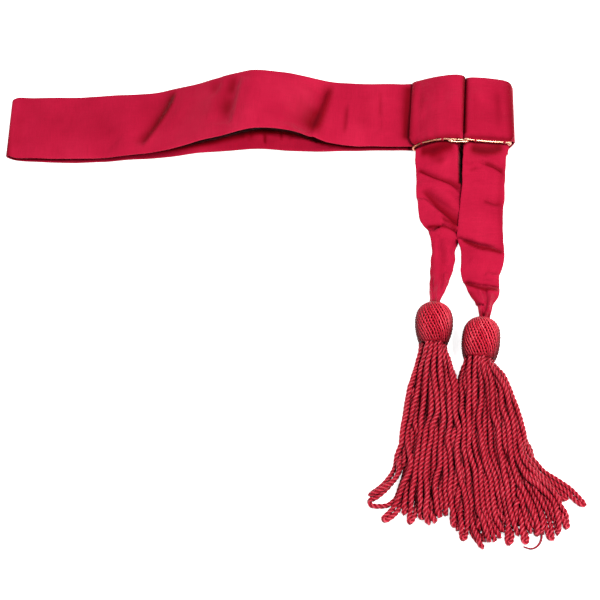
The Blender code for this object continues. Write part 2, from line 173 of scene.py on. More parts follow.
TAIL_RIGHT = [
    (156.2, 153.5, 12.6, 197.2, 154.3,  6.0, 0.6),
    (155.5, 141.9, 10.2, 196.1, 142.8,  3.2, 1.0),
    (155.0, 127.9,  7.2, 195.3, 130.3,  1.2, 1.6),
    (153.8, 111.5,  4.9, 194.3, 113.8,  0.8, 1.6),
    (151.4,  94.6,  3.4, 192.4,  96.0,  0.8, 1.4),
    (150.0,  77.0,  3.2, 191.3,  78.2,  0.8, 1.4),
    (148.6,  61.7,  3.0, 191.2,  64.9,  0.8, 2.0),
    (151.6,  53.9,  1.0, 192.2,  51.7,  0.8, 1.4),
    (152.2,  40.8,  0.8, 191.2,  40.8,  0.8, 2.4),
    (151.8,  25.3,  1.0, 186.8,  25.3,  1.0, 2.0),
    (155.1,  12.8,  4.0, 186.4,  12.8,  4.0, 2.6),
    (159.1,   0.8,  8.0, 184.8,   0.8,  8.0, 2.4),
    (163.5, -10.7, 13.0, 180.7, -10.7, 13.0, 2.0),
    (165.3, -20.5, 17.0, 177.9, -20.5, 17.0, 1.6),
    (166.4, -28.2, 19.6, 175.4, -28.2, 19.6, 1.0),
    (166.6, -33.5, 21.0, 174.6, -33.5, 21.0, 0.8),
    (166.9, -38.0, 22.0, 174.2, -38.0, 22.0, 0.6),
]
# Heads: middle x y, turn in plan, radius at the rim as a share of the widest.
HEAD_LEFT = (124.0, -34.2, 3.0, 0.75)
HEAD_RIGHT = (167.2, -50.3, 6.0, 0.84)
HEAD_PROFILE = [
    (0.07, 0.30), (0.085, 0.47), (0.13, 0.65), (0.20, 0.81), (0.30, 0.93),
    (0.42, 0.99), (0.55, 1.00), (0.68, 0.97), (0.81, 0.90), (0.92, 0.82),
    (1.00, 0.75),
]

# Cords of each tassel, left to right: 1 where the upper leg lies on top and 0
# where it lies under its neighbours, the way in plan of the upper leg from the
# head to its end, and the way back where that isn't underneath it.
CORDS_LEFT = [
    (1, [(110.7, -62.9), (107.2, -78.0), (101.7, -96.6), (98.0, -113.0), (95.4, -130.1), (93.0, -146.0), (91.7, -163.8), (89.2, -174.5), (81.9, -186.3), (70.0, -197.6), (61.8, -204.7)],
        [(66.0, -207.0), (75.0, -200.5), (84.5, -193.0), (90.5, -183.0), (94.0, -168.0)]),
    (0, [(111.6, -60.4), (107.4, -82.9), (102.0, -105.2), (98.2, -127.7), (95.6, -150.3), (94.3, -168.0), (88.8, -184.4), (77.5, -199.4), (63.3, -209.3)],
        [(63.8, -215.4), (73.0, -216.2), (82.5, -214.5), (90.0, -207.0), (95.0, -192.0), (97.0, -170.0)]),
    (1, [(115.6, -62.9), (111.1, -85.4), (105.9, -107.7), (100.8, -130.1), (98.3, -152.6), (99.8, -168.1), (97.3, -183.2), (93.4, -198.3), (89.0, -211.9), (83.4, -221.2), (75.7, -227.4)], None),
    (0, [(117.3, -60.4), (114.8, -82.9), (110.3, -105.2), (108.9, -127.7), (106.8, -150.3), (103.9, -165.8), (100.9, -181.2), (98.4, -196.7), (96.1, -212.1), (93.5, -221.4)], None),
    (1, [(120.6, -62.9), (117.0, -78.0), (114.4, -96.6), (113.3, -118.8), (109.0, -130.1), (107.3, -141.4), (106.5, -155.0), (106.2, -169.6), (105.5, -183.2), (102.4, -197.8), (101.6, -210.4), (101.4, -221.5), (98.2, -231.2)], None),
    (1, [(122.7, -62.9), (119.4, -80.0), (120.2, -96.6), (122.2, -107.7), (120.8, -122.0), (117.6, -136.4), (114.1, -152.6), (110.1, -166.1), (109.6, -183.2), (108.6, -198.3), (109.0, -213.4), (109.6, -226.8)], None),
    (1, [(124.4, -62.9), (122.0, -80.0), (123.0, -96.6), (124.0, -107.7), (124.6, -122.8), (122.8, -138.4), (119.4, -153.6), (115.2, -168.1), (112.6, -183.2), (112.2, -198.3), (112.8, -213.4), (114.1, -232.2)], None),
    (0, [(126.4, -60.4), (124.3, -82.9), (125.7, -105.2), (126.0, -127.7), (123.7, -150.3), (121.7, -165.8), (119.7, -181.2), (117.3, -196.7), (117.1, -212.0), (118.3, -231.9)], None),
    (1, [(129.7, -62.9), (128.6, -78.0), (129.2, -96.6), (130.4, -113.0), (130.6, -130.1), (128.6, -145.0), (127.1, -158.0), (127.6, -168.1), (125.9, -183.2), (123.4, -198.3), (122.4, -212.4), (122.8, -225.5)], None),
    (0, [(131.4, -60.4), (131.9, -82.9), (133.0, -105.2), (134.0, -127.7), (132.5, -150.3), (133.3, -165.8), (132.7, -181.2), (131.6, -196.7), (129.7, -211.0), (128.3, -223.3)], None),
    (1, [(132.5, -62.9), (133.6, -82.0), (135.4, -102.0), (136.6, -124.8), (135.7, -144.4), (136.9, -162.8), (138.3, -181.2), (137.4, -196.3), (135.0, -211.9), (136.2, -224.8), (135.8, -234.8)], None),
    (0, [(133.8, -62.7), (136.8, -82.9), (138.6, -105.2), (139.3, -127.7), (138.8, -150.3), (141.5, -165.8), (142.7, -181.2), (143.8, -196.7), (143.8, -211.0), (145.6, -223.3), (144.1, -234.5), (141.2, -239.1)], None),
    (1, [(133.9, -65.2), (138.9, -82.0), (140.4, -102.0), (141.3, -124.8), (140.7, -146.0), (141.4, -163.8), (144.0, -183.2), (146.6, -198.3), (148.6, -212.4), (149.9, -226.8), (148.7, -238.4), (146.6, -248.4)], None),
]
CORDS_RIGHT = [
    (1, [(151.5, -73.2), (148.6, -84.9), (148.5, -100.5), (148.9, -118.7), (148.4, -141.4), (148.0, -163.9), (150.6, -180.7), (153.2, -196.5), (154.3, -212.2), (155.1, -232.0), (157.0, -245.8), (159.4, -256.5)], None),
    (0, [(152.6, -70.7), (151.3, -90.0), (151.8, -116.3), (151.3, -139.0), (151.3, -161.5), (154.0, -176.6), (156.3, -193.8), (157.6, -210.9), (159.8, -230.9), (162.8, -250.3)], None),
    (1, [(155.2, -72.3), (153.3, -86.8), (154.0, -104.1), (153.8, -122.7), (153.1, -141.4), (153.2, -163.9), (156.4, -179.7), (158.2, -195.5), (160.3, -212.2), (162.3, -230.0), (165.6, -241.8), (168.0, -250.7)], None),
    (1, [(158.8, -72.3), (160.0, -86.8), (159.7, -106.1), (159.2, -122.7), (158.4, -141.4), (158.6, -163.9), (162.5, -179.7), (163.4, -195.5), (165.6, -212.2), (168.1, -230.0), (172.5, -249.2)], None),
    (0, [(160.9, -69.8), (163.2, -92.0), (162.7, -116.3), (161.5, -139.0), (162.2, -161.5), (166.6, -176.6), (168.4, -193.8), (171.1, -210.9), (174.1, -229.9), (176.3, -246.8)], None),
    (1, [(164.3, -72.3), (166.6, -86.8), (166.0, -106.1), (165.5, -124.7), (163.6, -141.4), (164.6, -163.9), (168.2, -178.7), (171.3, -195.5), (171.9, -212.2), (174.9, -230.0), (180.3, -241.8)], None),
    (0, [(165.5, -69.8), (169.9, -84.0), (170.3, -105.7), (169.3, -127.2), (168.2, -139.0), (169.0, -161.5), (172.1, -176.6), (175.4, -193.8), (175.6, -207.9), (174.4, -218.9), (176.9, -226.9)],
        [(182.6, -227.5), (185.2, -220.5), (183.6, -209.5), (180.6, -196.0), (176.5, -180.0), (173.0, -163.0)]),
    (1, [(168.0, -71.3), (172.4, -86.8), (172.4, -104.1), (173.6, -122.7), (173.4, -141.4), (173.6, -163.9), (178.6, -179.7), (182.6, -195.5), (184.0, -212.2), (185.6, -232.0), (185.5, -251.1)], None),
    (1, [(170.8, -71.3), (175.4, -86.8), (177.6, -106.1), (177.6, -124.7), (179.2, -141.4), (179.6, -163.9), (182.4, -180.7), (185.8, -195.5), (188.4, -212.2), (191.9, -232.0), (193.7, -243.3)], None),
    (0, [(172.0, -68.8), (179.0, -88.0), (181.0, -112.3), (182.0, -139.0), (184.0, -161.5), (186.9, -176.6), (190.6, -193.8), (193.5, -210.9), (197.3, -230.9), (199.0, -251.2)], None),
    (0, [(173.8, -68.8), (180.5, -86.0), (183.2, -105.7), (184.0, -122.2), (185.4, -139.0), (187.6, -161.5), (190.6, -176.6), (195.1, -193.8), (199.0, -210.9), (203.2, -229.9), (206.4, -241.3)], None),
    (1, [(174.5, -71.3), (179.7, -83.9), (184.2, -100.5), (186.0, -118.7), (187.0, -137.4), (188.8, -158.9), (191.0, -177.7), (196.2, -194.5), (203.6, -212.2), (208.9, -231.0), (212.8, -243.8)], None),
    (0, [(175.7, -68.8), (182.0, -84.0), (188.1, -105.7), (189.2, -122.3), (190.0, -139.0), (193.3, -161.5), (197.5, -176.6), (203.4, -193.8), (210.4, -210.9), (215.8, -229.9), (219.8, -241.8)], None),
    (0, [(176.6, -68.8), (182.6, -84.3), (188.1, -105.7), (191.3, -127.2), (192.6, -146.0), (196.3, -163.5), (201.6, -178.6), (209.6, -194.8), (217.9, -210.9), (223.8, -229.9), (227.4, -247.3)], None),
    (1, [(177.2, -71.3), (182.2, -86.8), (187.2, -106.1), (192.8, -125.7), (195.4, -145.4), (195.0, -163.9), (197.4, -178.7), (203.2, -190.5), (212.7, -200.4), (222.2, -208.2), (229.1, -218.1), (232.0, -230.0), (233.0, -242.3)], None),
    (1, [(178.1, -72.3), (183.2, -89.8), (190.3, -112.1), (195.9, -131.6), (197.6, -147.4), (199.7, -163.9), (203.4, -176.7), (209.6, -186.6), (218.4, -194.5), (227.1, -202.8), (233.4, -214.2), (236.9, -226.0), (238.6, -236.4)], None),
    (1, [(178.4, -73.2), (183.4, -89.7), (190.6, -112.1), (197.6, -131.6), (200.6, -147.4), (203.0, -163.9), (207.3, -176.7), (214.2, -186.6), (222.0, -193.5), (230.8, -197.9), (237.9, -200.4), (241.0, -203.4)],
        [(240.0, -208.4), (233.0, -209.6), (224.0, -206.0), (214.0, -200.5), (206.0, -193.0), (199.5, -180.0), (196.0, -163.0)]),
    (1, [(178.6, -74.2), (184.6, -91.7), (192.6, -112.1), (199.3, -131.6), (203.0, -147.4), (207.4, -162.9), (213.2, -174.7), (221.4, -183.1), (231.1, -190.5), (240.6, -197.9), (248.5, -204.8), (254.6, -213.0)], None),
]

# Creases in plan: way, half width, depth (a trough is negative), how the ends
# fade (share of the length).
BAND_CREASES = [
    ([(-106.0, 229.0), (-116.0, 205.0), (-129.0, 178.0), (-137.0, 158.0)], 8.0, 0.8, 0.25),
    ([(-46.0, 232.0), (-50.0, 205.0), (-56.0, 172.0)], 6.0, 0.6, 0.25),
    ([(44.6, 219.0), (44.0, 178.0)], (1.6, 4.0), -1.2, 0.25),
    ([(78.0, 226.0), (76.8, 174.0)], (2.0, 5.0), -1.2, 0.25),
    ([(95.0, 214.0), (97.0, 182.0)], 4.0, 0.5, 0.3),
    ([(-232.0, 212.0), (-214.0, 176.0)], 8.0, 0.7, 0.3),
    ([(-196.0, 222.0), (-186.0, 190.0)], 6.0, -0.6, 0.3),
    ([(-170.0, 180.0), (-190.0, 154.0)], (4.0, 8.0), -0.9, 0.3),
    ([(-20.0, 176.0), (-14.0, 200.0)], 7.0, 0.6, 0.3),
    ([(-88.0, 178.0), (-80.0, 214.0)], 6.0, 0.8, 0.3),
]
# Creases with one long flank and a sharp crest: crest line (the flank on the
# right of its way), depth, how fast the flank falls, its reach, fading ends.
BAND_STEPS = [
    ([(-117.6, 225.0), (-124.5, 208.0), (-137.0, 185.0), (-151.2, 158.8)], 3.6, 4.6, 17.0, 0.14),
    ([(-72.0, 234.0), (-78.0, 208.0)], 1.4, 2.6, 8.0, 0.3),
    ([(-55.0, 229.0), (-57.2, 214.0), (-61.0, 192.0), (-65.6, 168.0)], 3.4, 3.6, 15.0, 0.16),
    ([(30.2, 229.0), (28.0, 221.0), (22.0, 200.0), (16.0, 182.0), (10.7, 161.7)], 6.6, 6.5, 22.0, 0.15),
]
LOWER_CREASES = [
    ([(-33.0, 166.0), (-29.0, 176.0), (-25.6, 188.0)], (2.0, 3.2), -1.4, 0.2),
    ([(-44.0, 168.0), (-39.0, 186.0)], 2.6, 0.6, 0.3),
    ([(-13.0, 168.0), (-10.6, 184.0)], (1.4, 2.4), -1.0, 0.2),
    ([(0.0, 166.0), (5.0, 176.0)], (1.4, 2.4), -0.8, 0.2),
    ([(73.0, 176.0), (73.0, 165.0)], 0.8, -0.6, 0.1),
    ([(-120.0, 172.0), (-96.0, 180.0)], 4.0, 0.6, 0.3),
    ([(120.0, 232.0), (128.0, 180.0)], 5.0, -0.4, 0.3),
    ([(-232.0, 160.0), (-222.0, 200.0)], 6.0, 0.4, 0.3),
]
# The lower stretch's near part stands up as a lip: the line where it drops
# away behind, x y, and how high it stands there.
LIP = [(-200.0, 160.0, 0.0), (-150.0, 164.0, 0.8), (-105.6, 167.6, 2.8), (-91.3, 171.8, 3.6), (-76.9, 175.6, 4.2),
       (-52.9, 182.9, 4.6), (-36.6, 186.5, 4.2), (-9.6, 183.5, 3.0), (4.8, 177.4, 2.2), (19.2, 171.7, 1.2),
       (60.0, 169.0, 0.3), (100.0, 168.0, 0.0)]
LEFT_CREASES = [
    ([(107.0, 145.4), (120.4, 137.8), (131.7, 131.0), (144.9, 124.8), (155.3, 114.4)], (3.2, 1.5), -1.7, 0.05),
    ([(110.0, 138.0), (122.4, 131.8), (133.7, 125.0), (146.9, 118.0)], 3.0, 1.2, 0.15),
    ([(120.0, 152.0), (138.0, 150.0)], 5.0, -0.8, 0.3),
    ([(110.0, 129.0), (126.0, 123.4), (138.0, 115.0), (152.0, 104.0)], 4.6, 2.6, 0.2),
    ([(117.0, 117.0), (128.0, 109.0), (140.0, 99.0), (150.0, 90.0)], (3.4, 3.4), -1.8, 0.2),
    ([(132.9, 84.0), (141.0, 81.2), (150.6, 78.0)], (1.8, 0.9), -2.0, 0.12),
    ([(132.9, 80.2), (141.4, 75.9), (150.4, 69.6)], (2.0, 0.9), -2.6, 0.10),
    ([(118.6, 76.9), (126.2, 73.1), (133.4, 77.6)], (2.4, 1.0), -2.8, 0.10),
    ([(121.0, 71.0), (127.4, 68.2), (133.6, 72.6)], 2.2, 1.5, 0.2),
    ([(130.9, 70.2), (131.4, 56.0), (132.4, 46.0), (136.6, 39.0), (141.8, 32.0)], (3.4, 1.6), -1.5, 0.15),
    ([(127.0, 66.2), (126.9, 50.0), (128.4, 32.0), (127.4, 14.0)], 3.0, 0.9, 0.2),
    ([(137.6, 66.2), (139.0, 54.0), (141.0, 45.0)], 2.8, 0.8, 0.2),
    ([(146.6, 62.0), (142.6, 44.0), (139.6, 28.0), (134.6, 10.0)], (3.8, 2.0), -0.9, 0.2),
    ([(134.6, 30.0), (132.6, 14.0), (129.6, 1.0), (127.0, -14.0)], 1.6, -1.2, 0.15),
    ([(137.6, 30.0), (135.0, 14.0), (131.4, 1.0)], 1.8, 1.2, 0.15),
    ([(124.6, 24.0), (124.4, 6.0), (123.6, -12.0)], 1.0, -1.2, 0.15),
]
RIGHT_CREASES = [
    ([(158.0, 162.0), (166.0, 160.4), (176.0, 158.2), (186.0, 158.6), (196.0, 161.0)], (2.4, 4.2), -2.0, 0.14),
    ([(169.4, 148.2), (177.9, 145.7), (191.1, 140.0), (196.7, 131.1)], (2.6, 1.3), -1.7, 0.12),
    ([(159.0, 144.8), (166.0, 147.0)], 1.6, -0.7, 0.25),
    ([(171.0, 142.0), (181.0, 138.4), (190.0, 132.0)], 3.6, 0.9, 0.2),
    ([(172.0, 108.9), (182.4, 105.2), (195.8, 100.9)], (3.0, 1.4), -1.4, 0.18),
    ([(173.0, 103.6), (183.4, 99.8), (193.8, 95.9)], 3.4, 0.7, 0.2),
    ([(160.0, 134.0), (168.0, 121.0)], 5.0, 0.5, 0.3),
    ([(156.0, 92.0), (170.0, 88.0), (180.0, 80.0)], 5.0, 0.6, 0.3),
    ([(158.0, 42.0), (168.0, 38.0), (176.0, 33.0)], 4.0, 1.2, 0.25),
    ([(175.0, 33.0), (181.2, 29.7), (189.9, 34.5)], (3.0, 2.0), -1.1, 0.2),
    ([(173.0, 26.5), (181.2, 23.6), (188.4, 26.5)], 2.4, 1.4, 0.2),
    ([(149.2, 20.4), (161.0, 15.4), (169.4, 13.2), (188.8, 10.2)], (2.2, 1.0), -3.0, 0.05),
    ([(151.2, 10.6), (161.0, 8.9), (171.4, 6.6), (185.8, 3.4)], 2.4, 1.4, 0.15),
    ([(166.2, 8.0), (169.6, -4.0), (171.6, -14.0)], 1.8, 1.4, 0.2),
    ([(173.0, 9.0), (173.8, -8.0), (172.6, -28.0)], (1.6, 2.6), -1.6, 0.15),
    ([(161.6, -9.9), (166.3, -12.4), (171.0, -14.6)], (1.4, 1.8), -3.6, 0.12),
    ([(178.4, 4.0), (177.2, -10.0), (174.0, -26.0)], 1.6, 1.2, 0.2),
    ([(168.6, -16.0), (169.4, -32.0)], 1.0, -1.4, 0.2),
]
# Tucks: crest of the fold in plan, with the cloth behind it (left of its way)
# dropping away; reach in front, reach behind, height, how far it leans back.
RIGHT_TUCKS = [
    ([(148.4, 60.6), (159.4, 56.8), (169.6, 53.4), (180.9, 51.0), (193.0, 48.6)], 8.0, 1.2, 3.8, 2.2, 3.2),
]
LEFT_TUCKS = [
    ([(116.4, 105.4), (121.5, 100.2), (127.1, 94.1), (134.5, 86.8), (144.8, 79.0), (153.0, 73.0)], 7.0, 2.8, 4.6, 1.2, 1.6),
    ([(118.4, 75.8), (123.4, 72.6), (128.4, 72.4), (133.6, 76.2)], 5.0, 1.0, 1.6, 1.2, 1.8),
]


# ------------------------------------------------------------------- helpers
# Painted shade: how dark the cloth is painted along lines drawn on it, in mm
# (x, y), for the shade in its folds, the shadows of the straps, the shade under
# the band's arch behind its lip, the dark slits and the darker left part of the
# band. Each is: line, width on the left of its way, width on the right,
# strength, fading ends, and the part of the band that it belongs to. A pair of
# numbers runs from the line's start to its end.
SHADE_STROKES = {
    "band": [
        ([(-119.7, 228.2), (-125.4, 207.9), (-133.4, 192.7), (-142.5, 178.9), (-154.0, 161.8)], (1.8, 3.0), (4.4, 8.0), (0.6, 0.4), 0.16, "up"),
        ([(-122.7, 224.0), (-131.9, 201.3), (-146.1, 185.9)], 5.0, 12.0, 0.12, 0.3, "up"),
        ([(-78.0, 231.8), (-81.2, 221.7), (-83.9, 208.9)], 4.0, 5.0, 0.22, 0.45, "up"),
        ([(-61.2, 233.7), (-64.0, 220.9), (-66.5, 204.2)], 2.6, 6.0, 0.4, 0.4, "up"),
        ([(-65.2, 211.2), (-68.3, 195.8), (-70.8, 174.2)], 3.6, 6.0, 0.34, 0.45, "up"),
        ([(-69.2, 221.6), (-74.4, 180.9)], 7.0, 9.0, 0.14, 0.4, "up"),
        ([(31.3, 235.9), (27.6, 217.2), (22.1, 198.4), (11.1, 167.4)], (3.0, 4.4), (5.0, 13.0), (0.46, 0.62), 0.22, "up"),
        ([(17.3, 208.0), (6.7, 167.6)], 8.0, 10.0, 0.24, 0.35, "up"),
        ([(0.0, 216.9), (-3.8, 168.6)], 10.0, 10.0, 0.08, 0.3, "up"),
        ([(46.3, 212.4), (44.2, 193.3), (42.4, 174.5)], 1.5, 2.4, 0.3, 0.3, "up"),
        ([(78.0, 230.8), (77.0, 194.3)], 1.4, 1.6, 0.2, 0.3, "up"),
        ([(63.8, 225.8), (61.4, 179.3)], 7.0, 7.0, 0.08, 0.3, "up"),
        ([(106.1, 236.2), (103.8, 206.0), (101.8, 169.5)], 6.0, (7.0, 4.0), (0.5, 0.64), 0.1, "up"),
        ([(-281.5, 223.8), (-282.2, 188.8), (-281.1, 152.5)], 3.0, 3.0, 0.5, 0.05, "up"),
        ([(-270.4, 206.8), (-272.2, 162.5)], 6.0, 8.0, 0.12, 0.2, "up"),
        ([(-169.4, 194.3), (-105.6, 197.8), (-47.7, 196.4)], 34.0, 34.0, 0.09, 0.25, "up"),
        ([(-269.5, 185.8), (-221.2, 186.7), (-173.1, 189.6)], 30.0, 30.0, 0.05, 0.25, "up"),
        ([(-155.4, 162.3), (-127.6, 166.1), (-93.2, 174.8), (-75.0, 181.3), (-54.0, 188.8)], 9.0, (1.6, 11.5), (0.92, 1.0), 0.06, "down"),
        ([(-59.7, 187.2), (-40.4, 188.5), (-22.1, 187.5), (-4.8, 183.8), (6.7, 178.6), (21.1, 170.7)], 9.0, (10.5, 0.8), (1.0, 0.8), 0.06, "down"),
        ([(-279.8, 155.1), (-230.0, 154.7), (-155.4, 161.7)], 5.0, 1.3, 0.5, 0.02, "down"),
        ([(19.2, 171.2), (48.0, 167.8), (103.7, 167.9)], 5.0, 1.3, 0.5, 0.02, "down"),
        ([(-32.7, 182.6), (-33.4, 169.2)], 1.7, 1.5, 0.55, 0.3, "down"),
        ([(-17.7, 184.4), (-18.3, 173.6)], 1.4, 1.2, 0.45, 0.3, "down"),
        ([(-8.7, 182.5), (-9.2, 173.8)], 1.3, 1.3, 0.4, 0.3, "down"),
        ([(-46.2, 182.6), (-49.0, 172.1)], 1.6, 1.6, 0.3, 0.3, "down"),
    ],
    "strap_left_cloth": [
        ([(109.4, 238.2), (105.5, 203.1), (102.9, 163.5)], 5.0, 4.0, 0.3, 0.03, None),
        ([(120.1, 227.3), (117.1, 212.3), (115.2, 191.4)], 3.2, 3.0, 0.13, 0.45, None),
        ([(133.0, 226.6), (131.0, 196.0), (131.3, 175.6)], 2.0, 2.4, 0.05, 0.3, None),
        ([(159.3, 238.2), (157.6, 195.5), (157.1, 170.6)], 3.0, 2.0, 0.72, 0.02, None),
        ([(104.2, 163.7), (119.4, 164.1), (134.4, 163.8), (154.5, 164.2)], 3.4, 2.6, 0.36, 0.08, None),
    ],
    "strap_right_cloth": [
        ([(159.2, 239.5), (157.6, 198.0), (156.9, 170.5)], 2.3, 5.0, 0.8, 0.02, None),
        ([(203.8, 237.6), (204.6, 202.4), (205.1, 165.8)], 4.0, 5.5, 0.42, 0.03, None),
        ([(190.8, 235.2), (190.7, 212.0), (191.8, 171.4)], 3.0, 4.6, 0.2, 0.45, None),
        ([(169.8, 228.1), (167.3, 174.3)], 4.0, 4.0, 0.07, 0.3, None),
        ([(156.6, 165.2), (181.6, 167.8), (204.8, 167.5)], 2.6, 3.0, 0.36, 0.05, None),
    ],
    "tail_left_cloth": [
        ([(154.9, 168.0), (154.4, 151.0), (152.1, 124.7)], 9.0, (2.2, 1.4), 1.0, 0.03, None),
        ([(112.9, 158.4), (124.2, 157.6), (135.5, 158.6), (148.9, 161.7)], 6.0, 4.4, 0.6, 0.15, None),
        ([(122.3, 157.6), (130.0, 151.6), (139.4, 144.7)], 6.0, 5.0, 0.3, 0.3, None),
        ([(111.9, 144.2), (120.3, 136.8), (131.6, 129.9), (142.9, 125.6), (154.3, 118.2)], (1.6, 5.0), 1.3, (0.62, 0.44), 0.12, None),
        ([(115.3, 121.1), (123.7, 110.6), (132.7, 95.8), (141.0, 85.7), (150.3, 75.0)], (2.6, 14.0), 1.9, (0.44, 0.6), 0.14, None),
        ([(132.5, 87.8), (141.8, 79.7), (150.3, 73.9)], 2.0, 1.4, 0.4, 0.2, None),
        ([(117.4, 78.4), (125.8, 78.7), (137.0, 76.4), (150.3, 72.2)], 1.5, 1.7, 0.55, 0.15, None),
        ([(123.3, 69.9), (122.3, 42.5), (123.0, 3.2)], 3.4, 2.0, 0.22, 0.2, None),
        ([(139.7, 69.0), (134.5, 39.6), (128.4, -0.5)], 2.6, 3.4, 0.14, 0.4, None),
        ([(118.6, -15.2), (131.6, -15.9)], 5.0, 3.0, 0.45, 0.02, None),
    ],
    "tail_right_cloth": [
        ([(159.5, 159.4), (172.0, 157.3), (185.5, 158.7), (197.2, 163.6)], 6.0, 3.6, 0.62, 0.2, None),
        ([(174.9, 146.9), (183.4, 143.7), (194.9, 137.4)], 3.0, 1.3, 0.46, 0.2, None),
        ([(160.2, 136.1), (169.9, 141.5)], 1.5, 2.0, 0.2, 0.3, None),
        ([(172.9, 105.9), (182.3, 102.3), (194.0, 105.0)], 4.4, 1.6, 0.26, 0.25, None),
        ([(151.7, 61.9), (161.0, 56.4), (171.3, 51.6), (192.1, 48.7)], 4.6, 1.3, (0.64, 0.56), 0.08, None),
        ([(152.7, 18.9), (162.5, 9.4), (173.5, 5.3), (186.7, 5.8)], 4.8, 1.4, 0.56, 0.1, None),
        ([(155.0, 6.6), (161.9, -5.1), (166.7, -20.0)], 3.0, 2.6, 0.34, 0.2, None),
        ([(183.7, 2.9), (175.3, -14.3), (172.0, -25.9)], 2.4, 2.6, 0.16, 0.2, None),
        ([(162.8, -26.9), (175.7, -28.5)], 5.0, 3.0, 0.4, 0.02, None),
        ([(194.1, 150.5), (190.3, 108.8), (191.3, 52.5)], 3.0, 3.0, 0.16, 0.1, None),
    ],
}


def spline(rows, spacing, place=None):
    """A smooth run through the rows, at even steps of about spacing."""
    rows = np.asarray(rows, float)
    ext = np.vstack([2 * rows[0] - rows[1], rows, 2 * rows[-1] - rows[-2]])
    t = np.linspace(0, 1, 14, endpoint=False)[:, None]
    out = []
    for a, b, c, d in zip(ext[:-3], ext[1:-2], ext[2:-1], ext[3:]):
        out.append(0.5 * (2 * b + (c - a) * t + (2 * a - 5 * b + 4 * c - d) * t * t
                          + (3 * b - a - 3 * c + d) * t ** 3))
    dense = np.vstack(out + [rows[-1:]])
    where = dense[:, :3] if place is None else place(dense)
    s = np.concatenate([[0], np.cumsum(np.linalg.norm(np.diff(where, axis=0), axis=1))])
    count = max(2, int(round(s[-1] / spacing)) + 1)
    at = np.linspace(0, s[-1], count)
    return np.stack([np.interp(at, s, dense[:, k]) for k in range(dense.shape[1])], axis=1)


def unit(v):
    return v / np.maximum(np.linalg.norm(v, axis=-1, keepdims=True), 1e-9)


def smoothstep(x):
    x = np.clip(x, 0.0, 1.0)
    return x * x * (3 - 2 * x)


def ripple(x, y, seed, parts):
    """A soft uneven field: a few crossing waves of each wavelength and size."""
    rng = np.random.default_rng(seed)
    total = np.zeros(np.broadcast(x, y).shape)
    for wavelength, size in parts:
        for _ in range(4):
            a = rng.uniform(0, math.tau)
            k = math.tau / (wavelength * rng.uniform(0.75, 1.35))
            total = total + size / 2 * np.sin(k * (x * math.cos(a) + y * math.sin(a))
                                              + rng.uniform(0, math.tau))
    return total


def from_path(x, y, path):
    """Distance in plan from the path, positive on the left of its way, share
    of the way at the nearest point, and the way's left-hand direction there."""
    path = np.asarray(path, float)
    seg = np.diff(path, axis=0)
    length = np.linalg.norm(seg, axis=1)
    total = length.sum()
    start = np.concatenate([[0], np.cumsum(length)])[:-1]
    best = np.full(x.shape, 1e9)
    side = np.zeros(x.shape)
    share = np.zeros(x.shape)
    left = np.zeros(x.shape + (2,))
    for (px, py), (dx, dy), l, s0 in zip(path[:-1], seg, length, start):
        t = np.clip(((x - px) * dx + (y - py) * dy) / (l * l), 0, 1)
        ex, ey = x - px - t * dx, y - py - t * dy
        d = np.hypot(ex, ey)
        near = d < best
        best = np.where(near, d, best)
        sign = np.where(dx * ey - dy * ex >= 0, 1.0, -1.0)
        side = np.where(near, sign, side)
        share = np.where(near, (s0 + t * l) / total, share)
        left[near] = (-dy / l, dx / l)
    return best * side, share, left


def creases(grid, table):
    """Height that a table of creases adds at each point of the grid."""
    x, y = grid[..., 0], grid[..., 1]
    total = np.zeros(x.shape)
    for path, width, depth, fade in table:
        smooth_path = spline(np.asarray(path, float), 2.0, lambda d: d)
        d, share, _ = from_path(x, y, smooth_path)
        ends = smoothstep(share / fade) * smoothstep((1 - share) / fade)
        if isinstance(width, tuple):
            width = np.where(d > 0, width[0], width[1])
        total += depth * np.exp(-(d / width) ** 2) * ends
    return total


def fold_shade(points, strokes):
    """How dark each point is painted, 0 to 1, from a table of strokes of painted shade."""
    across, up = points[:, 0], points[:, 1]
    # the lower stretch under the arch, where the painted shadow behind the lip goes
    low = points[:, 2] < 0.5 * np.interp(points[:, 0], [r[0] for r in UPPER], [r[2] for r in UPPER])
    bright = np.ones(len(points))
    pair = lambda v, share: v[0] + (v[1] - v[0]) * share if isinstance(v, tuple) else v
    for line, left, right, strength, fade, part in strokes:
        line = spline(np.array(line, float), 3.0, lambda d: d)
        reach = 3 * max(np.max(left), np.max(right))
        near = (across > line[:, 0].min() - reach) & (across < line[:, 0].max() + reach) \
            & (up > line[:, 1].min() - reach) & (up < line[:, 1].max() + reach)
        if part:
            near &= low if part == "down" else ~low
        if not near.any():
            continue
        d, share, _ = from_path(across[near], up[near], line)
        ends = smoothstep(share / fade) * smoothstep((1 - share) / fade)
        width = np.where(d > 0, pair(left, share), pair(right, share))
        power = 4 if part == "down" else 2
        bright[near] *= 1 - pair(strength, share) * ends * np.exp(-np.abs(d / width) ** power)
    return 1 - bright


def one_sided(grid, table):
    """Height that a table of one-sided creases adds."""
    x, y = grid[..., 0], grid[..., 1]
    total = np.zeros(x.shape)
    for path, depth, fall, reach, fade in table:
        smooth_path = spline(np.asarray(path, float), 2.0, lambda d: d)
        d, share, _ = from_path(x, y, smooth_path)
        ends = smoothstep(share / fade) * smoothstep((1 - share) / fade)
        off = np.maximum(-d, 0.0)
        flank = -depth * (1 - np.exp(-off / fall)) * np.exp(-(off / reach) ** 2)
        crest = 0.22 * depth * np.exp(-((d - 1.0) / 3.2) ** 2)
        total += (flank + crest) * ends
    return total


